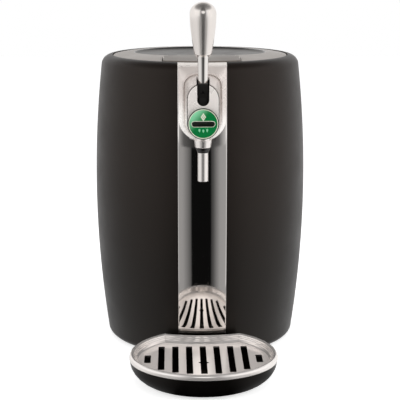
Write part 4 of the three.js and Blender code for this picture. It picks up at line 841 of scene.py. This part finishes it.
# ---------------------------------------------------------------- drip tray and grille
TRAY_Y, TRAY_HALF, TRAY_FRONT, TRAY_BACK, TRAY_CUT = 200, 90, 77.8, 89, 133.6
RIM_LOW = 28
BOWL_WALL = 2.4
BOWL_FOOT = (58, 52, 78)  # half width, front and back of the bowl's flat bottom
BOWL_SHARES = (0, 0.02, 0.06, 0.12, 0.22, 0.35, 0.5, 0.7, 1)  # of the rim's height, for the bowl's rings
# The grille as [inset from the tray's edge, level]: under side, rolled rim, stepped wall and floor
GRILLE_UNDER = ((9.2, 23.4), (5, 25.4))
GRILLE_RIM = ((0, 31.6), (0.35, 33), (1, 34.1), (1.9, 34.8), (2.8, 35), (3.8, 34.8), (4.8, 34.1), (5.5, 33.6))
GRILLE_STEPS = ((5.6, 32.4), (6.5, 31.8), (6.6, 30.6), (7.5, 30), (7.6, 28.8), (8.5, 28))
GRILLE_FLOOR = ((9.3, 27), (10.3, 26.1), (11.6, 25.55), (13.4, 25.4))
GRILLE_BRIGHT_FROM, CUT_LOW, CUT_HIGH = 26, 23.8, 25  # the wall's foot, and the slots' cut sides, which are painted dark as shade
SLOT_PITCH, SLOT_BACK, SLOT_FRONT, SLOT_REACH = 17.1, 149.5, 246, 91
SLOT_SHORTER = (0.154, 0.055, 0.0055, 0, 0.0055, 0.055, 0.154)  # shares of the reach that the slots end early
SLOT_HALF, SLOT_CORNER = 2.6, 1.3
SHORT_SLOT_PLACE, SHORT_SLOT_BACK, SHORT_SLOT_FRONT = 68, 181, 208
DRAIN_PLACE, DRAIN_HALF = 208, 6.9


def tray_ring(half, front, back, cut, level, count=128):
    """A ring of the tray in plan: two half ellipses, cut by the round of the barrel behind."""
    def at(t):
        depth = back if math.sin(t) > 0 else front
        return (half * math.cos(t), -TRAY_Y + depth * math.sin(t))

    low, high = 0, math.pi / 2
    for _ in range(40):
        middle = (low + high) / 2
        if math.hypot(*at(middle)) > cut:
            low = middle
        else:
            high = middle
    around = int(count * 0.8)
    line = [at(math.pi - low + i / around * (math.pi + 2 * low)) for i in range(around + 1)]
    x, y = at(low)
    sweep = math.atan2(x, -y)
    behind = count - around
    turns = [sweep * (1 - 2 * i / behind) for i in range(1, behind)]
    line += [(cut * math.sin(t), -cut * math.cos(t)) for t in turns]
    return [spot(u, v, level) for u, v in line]


def bowl_ring(share, inset):
    """A ring of the bowl at a share of the rim's height: on its outside, or on its inside for an inset."""
    swell = math.sqrt(1 - (1 - share) ** 1.82)
    rim = (TRAY_HALF, TRAY_FRONT, TRAY_BACK)
    sizes = [a + (b - FIT - a) * swell - inset for a, b in zip(BOWL_FOOT, rim)]
    level = max(share * RIM_LOW - (0.1 if inset else 0), 3 if inset else 0)
    return tray_ring(*sizes, TRAY_CUT + FIT + inset, level)


rings = [bowl_ring(share, 0) for share in BOWL_SHARES]
rings += [bowl_ring(share, BOWL_WALL) for share in (1, 0.6, 0.3, 0.12)]
bowl = lofted("bowl", rings)
carve(bowl, block((-22, -TRAY_CUT - BOWL_WALL, 0.6), (22, -TRAY_CUT + 26, 2)), how="UNION")
stands_for(end(bowl, satin_black, angle=40, bevel=0.25), "drip_tray", "tray")


def pan_ring(inset, level):
    """A ring of the grille inside the tray's edge."""
    return tray_ring(TRAY_HALF - inset, TRAY_FRONT - inset, TRAY_BACK - inset, TRAY_CUT + inset, level)


seat = RIM_LOW + FIT
resting = ((3, seat + 0.1), (0.3, seat), (0, seat + 0.4))
pan = lofted("pan", [
    pan_ring(*point) for point in GRILLE_UNDER + resting + GRILLE_RIM + GRILLE_STEPS + GRILLE_FLOOR
])


def grille_slot(x, back, front):
    """A tool for one slot, from back to front in millimetres before the barrel's axis."""
    right, left = x + SLOT_HALF, x - SLOT_HALF
    rear, near = -back - SLOT_CORNER, -front + SLOT_CORNER
    corners = []
    for cx, cy, start in ((right, rear, 0), (left, rear, 90), (left, near, 180), (right, near, 270)):
        corners += arc((cx, cy), SLOT_CORNER, start, start + 90, 4)
    return prism("slot", [spot(u, v, 15) for u, v in corners], (0, 0, 25))


tools = []
for place, share in zip(range(-3, 4), SLOT_SHORTER):
    tools.append(grille_slot(SLOT_PITCH * place, SLOT_BACK, SLOT_FRONT - SLOT_REACH * share))
for sign in (-1, 1):
    tools.append(grille_slot(SHORT_SLOT_PLACE * sign, SHORT_SLOT_BACK, SHORT_SLOT_FRONT))
drain = ((-DRAIN_HALF, 0), (0, -DRAIN_HALF), (DRAIN_HALF, 0), (0, DRAIN_HALF))
tools.append(prism("drain", [spot(x, -DRAIN_PLACE + y, 15) for x, y in drain], (0, 0, 25)))
carve(pan, *tools)
even(end(pan, grille_chrome, angle=30, bevel=0.3))
paint(pan, pan_chrome, lambda p: p.z > GRILLE_BRIGHT_FROM * MM)
# Painted shade: the slots' cut walls are dark
paint(pan, slot_wall_shade, lambda p: CUT_LOW * MM < p.z < CUT_HIGH * MM)
stands_for(pan, "drip_grille", "grille")


# ---------------------------------------------------------------- stage
# Floor and world levels, where 1 is white to the camera
FLOOR_TONE, FLOOR_ROUGH, FLOOR_SIZE = 0.82, 0.6, 8
LIFT = 0.62  # what the floor's own light level lacks of white, where only the world lights it
WORLD_LEVEL = 0.55
# What polished metal sees round it: brightness by the side that a ray goes to, in degrees from the front,
# for rays that go down to the floor and up past it, and how that level falls with height
SIDES_LOW = [
    (-180, 0.9), (-120, 0.7), (-60, 0.78), (-42, 0.66), (-30, 0.32), (-20, 0.31), (-13, 0.14), (-11.2, 0.09),
    (-10.3, 0.004), (10.2, 0.004), (11, 0.05), (12.6, 0.07), (20, 0.32), (30, 0.35), (42, 0.8), (60, 0.92),
    (120, 0.9), (180, 0.9),
]
SIDES_HIGH = [
    (-180, 0.9), (-120, 0.9), (-60, 1), (-36, 0.95), (-26, 0.5), (-19, 0.1), (-8, 0.03),
    (8, 0.03), (19, 0.1), (26, 0.5), (36, 0.95), (60, 1), (120, 0.9), (180, 0.9),
]
CEILING = ((0.0, 1), (0.55, 1), (0.75, 0.3), (1.0, 0.05))
# A lamp above the camera, seen only in glossy surfaces such as the handle's ball
GLINT_WAY, GLINT_EDGE, GLINT_FULL = Vector((0, -1, 0.35)).normalized(), 0.95, 0.98


def group_room(name, sides):
    """Brightness round the object by the direction of a ray."""
    way, level = ("Way", "NodeSocketVector", (0, 0, 0)), ("Level", "NodeSocketFloat")
    tree, source, target = new_group(name, [way], [level])
    parts = tree.nodes.new("ShaderNodeSeparateXYZ")
    flip = tree.nodes.new("ShaderNodeMath")
    flip.operation = "MULTIPLY"
    flip.inputs[1].default_value = -1
    angle = tree.nodes.new("ShaderNodeMath")
    angle.operation = "ARCTAN2"
    share = tree.nodes.new("ShaderNodeMapRange")
    share.inputs["From Min"].default_value = -math.pi
    share.inputs["From Max"].default_value = math.pi
    ramp = tree.nodes.new("ShaderNodeValToRGB")
    stops = ramp.color_ramp.elements
    while len(stops) < len(sides):
        stops.new(0.5)
    for stop, (degrees, level) in zip(stops, sides):
        stop.position = (degrees + 180) / 360
        stop.color = (level, level, level, 1)
    tree.links.new(source.outputs["Way"], parts.inputs[0])
    tree.links.new(parts.outputs["Y"], flip.inputs[0])
    tree.links.new(parts.outputs["X"], angle.inputs[0])
    tree.links.new(flip.outputs[0], angle.inputs[1])
    tree.links.new(angle.outputs[0], share.inputs["Value"])
    tree.links.new(share.outputs["Result"], ramp.inputs["Fac"])
    tree.links.new(ramp.outputs["Color"], target.inputs["Level"])
    return tree


ROOM_LOW = group_room("room_below", SIDES_LOW)
ROOM_HIGH = group_room("room_above", SIDES_HIGH)


def seen_as_room(material):
    """The camera sees the surface lifted to white but for shadows, and polished metal sees the room."""
    tree = material.node_tree
    rays = tree.nodes.new("ShaderNodeLightPath")
    coords = tree.nodes.new("ShaderNodeTexCoord")
    room = tree.nodes.new("ShaderNodeGroup")
    room.node_tree = ROOM_LOW
    white, mirrored = tree.nodes.new("ShaderNodeEmission"), tree.nodes.new("ShaderNodeEmission")
    white.inputs["Strength"].default_value = LIFT
    lifted = tree.nodes.new("ShaderNodeAddShader")
    first, second = tree.nodes.new("ShaderNodeMixShader"), tree.nodes.new("ShaderNodeMixShader")
    tree.links.new(coords.outputs["Object"], room.inputs["Way"])
    tree.links.new(room.outputs["Level"], mirrored.inputs["Color"])
    tree.links.new(rays.outputs["Is Glossy Ray"], first.inputs["Fac"])
    tree.links.new(tree.nodes["Principled BSDF"].outputs[0], first.inputs[1])
    tree.links.new(mirrored.outputs[0], first.inputs[2])
    tree.links.new(rays.outputs["Is Camera Ray"], second.inputs["Fac"])
    tree.links.new(first.outputs[0], second.inputs[1])
    tree.links.new(tree.nodes["Principled BSDF"].outputs[0], lifted.inputs[0])
    tree.links.new(white.outputs[0], lifted.inputs[1])
    tree.links.new(lifted.outputs[0], second.inputs[2])
    tree.links.new(second.outputs[0], tree.nodes["Material Output"].inputs["Surface"])


bpy.ops.object.select_all(action="DESELECT")
bpy.ops.mesh.primitive_plane_add(size=FLOOR_SIZE, location=(0, 0, 0))
floor = bpy.context.object
floor.name = "floor"
floor_white = bpy.data.materials.new("floor_white")
floor_white.use_nodes = True
shader = floor_white.node_tree.nodes["Principled BSDF"]
shader.inputs["Base Color"].default_value = (FLOOR_TONE, FLOOR_TONE, FLOOR_TONE, 1)
shader.inputs["Roughness"].default_value = FLOOR_ROUGH
seen_as_room(floor_white)
floor.data.materials.append(floor_white)
floor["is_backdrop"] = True

# The world is white to the camera, an even grey for light, and for polished metal a wall under a dark ceiling
world = bpy.data.worlds.new("studio")
bpy.context.scene.world = world
world.use_nodes = True
sky = world.node_tree
rays = sky.nodes.new("ShaderNodeLightPath")
coords = sky.nodes.new("ShaderNodeTexCoord")
height = sky.nodes.new("ShaderNodeSeparateXYZ")
wall = sky.nodes.new("ShaderNodeValToRGB")
stops = wall.color_ramp.elements
for place, level in CEILING:
    stop = stops[0] if place == 0 else stops[-1] if place == 1 else stops.new(place)
    stop.color = (level, level, level, 1)
room = sky.nodes.new("ShaderNodeGroup")
room.node_tree = ROOM_HIGH
lamp_side = sky.nodes.new("ShaderNodeVectorMath")
lamp_side.operation = "DOT_PRODUCT"
lamp_side.inputs[1].default_value = GLINT_WAY
lamp_face = sky.nodes.new("ShaderNodeMapRange")
lamp_face.inputs["From Min"].default_value = GLINT_EDGE
lamp_face.inputs["From Max"].default_value = GLINT_FULL
shade = sky.nodes.new("ShaderNodeVectorMath")
shade.operation = "MULTIPLY_ADD"
glossy = sky.nodes.new("ShaderNodeMix")
glossy.data_type = "RGBA"
glossy.inputs["A"].default_value = (WORLD_LEVEL, WORLD_LEVEL, WORLD_LEVEL, 1)
seen = sky.nodes.new("ShaderNodeMix")
seen.data_type = "RGBA"
seen.inputs["B"].default_value = (1, 1, 1, 1)
sky.links.new(coords.outputs["Generated"], height.inputs[0])
sky.links.new(height.outputs["Z"], wall.inputs["Fac"])
sky.links.new(coords.outputs["Generated"], room.inputs["Way"])
sky.links.new(wall.outputs["Color"], shade.inputs[0])
sky.links.new(room.outputs["Level"], shade.inputs[1])
sky.links.new(coords.outputs["Generated"], lamp_side.inputs[0])
sky.links.new(lamp_side.outputs["Value"], lamp_face.inputs["Value"])
sky.links.new(lamp_face.outputs["Result"], shade.inputs[2])
sky.links.new(shade.outputs[0], glossy.inputs["B"])
sky.links.new(rays.outputs["Is Glossy Ray"], glossy.inputs["Factor"])
sky.links.new(glossy.outputs["Result"], seen.inputs["A"])
sky.links.new(rays.outputs["Is Camera Ray"], seen.inputs["Factor"])
sky.links.new(seen.outputs["Result"], sky.nodes["Background"].inputs["Color"])


def softbox(name, place, aim, size, power):
    """A soft rectangular lamp. Places and size in metres, power in watts."""
    data = bpy.data.lights.new(name, "AREA")
    data.shape = "RECTANGLE"
    data.size, data.size_y = size
    data.energy = power
    lamp = bpy.data.objects.new(name, data)
    bpy.context.scene.collection.objects.link(lamp)
    lamp.location = place
    lamp.rotation_mode = "QUATERNION"
    lamp.rotation_quaternion = (Vector(aim) - Vector(place)).to_track_quat("-Z", "Y")
    return lamp


for lamp in (
    softbox("left_box", (-1.5, -0.7, 0.8), (0, 0, 0.22), (0.8, 1.4), 16),
    softbox("right_box", (1.5, -0.7, 0.8), (0, 0, 0.22), (0.8, 1.4), 20),
    softbox("top_box", (0, 0.1, 1.9), (0, 0, 0.2), (1.4, 1.4), 5),
):
    lamp.visible_glossy = False

# The photograph's view: from the front, a little from the left and from above
CAMERA_PLACE, CAMERA_TURN, CAMERA_FALL = (-0.0338, -1.49245, 0.5192), math.radians(1.25), math.radians(12.32)
SENSOR, LENS = 36, 105.65
camera_data = bpy.data.cameras.new("camera")
camera = bpy.data.objects.new("camera", camera_data)
bpy.context.scene.collection.objects.link(camera)
bpy.context.scene.camera = camera
camera.location = CAMERA_PLACE
ahead = math.cos(CAMERA_FALL)
heading = Vector((math.sin(CAMERA_TURN) * ahead, math.cos(CAMERA_TURN) * ahead, -math.sin(CAMERA_FALL)))
camera.rotation_mode = "QUATERNION"
camera.rotation_quaternion = heading.to_track_quat("-Z", "Y")
camera_data.sensor_width = SENSOR
camera_data.lens = LENS

bpy.context.scene.view_settings.view_transform = "Standard"

low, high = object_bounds()
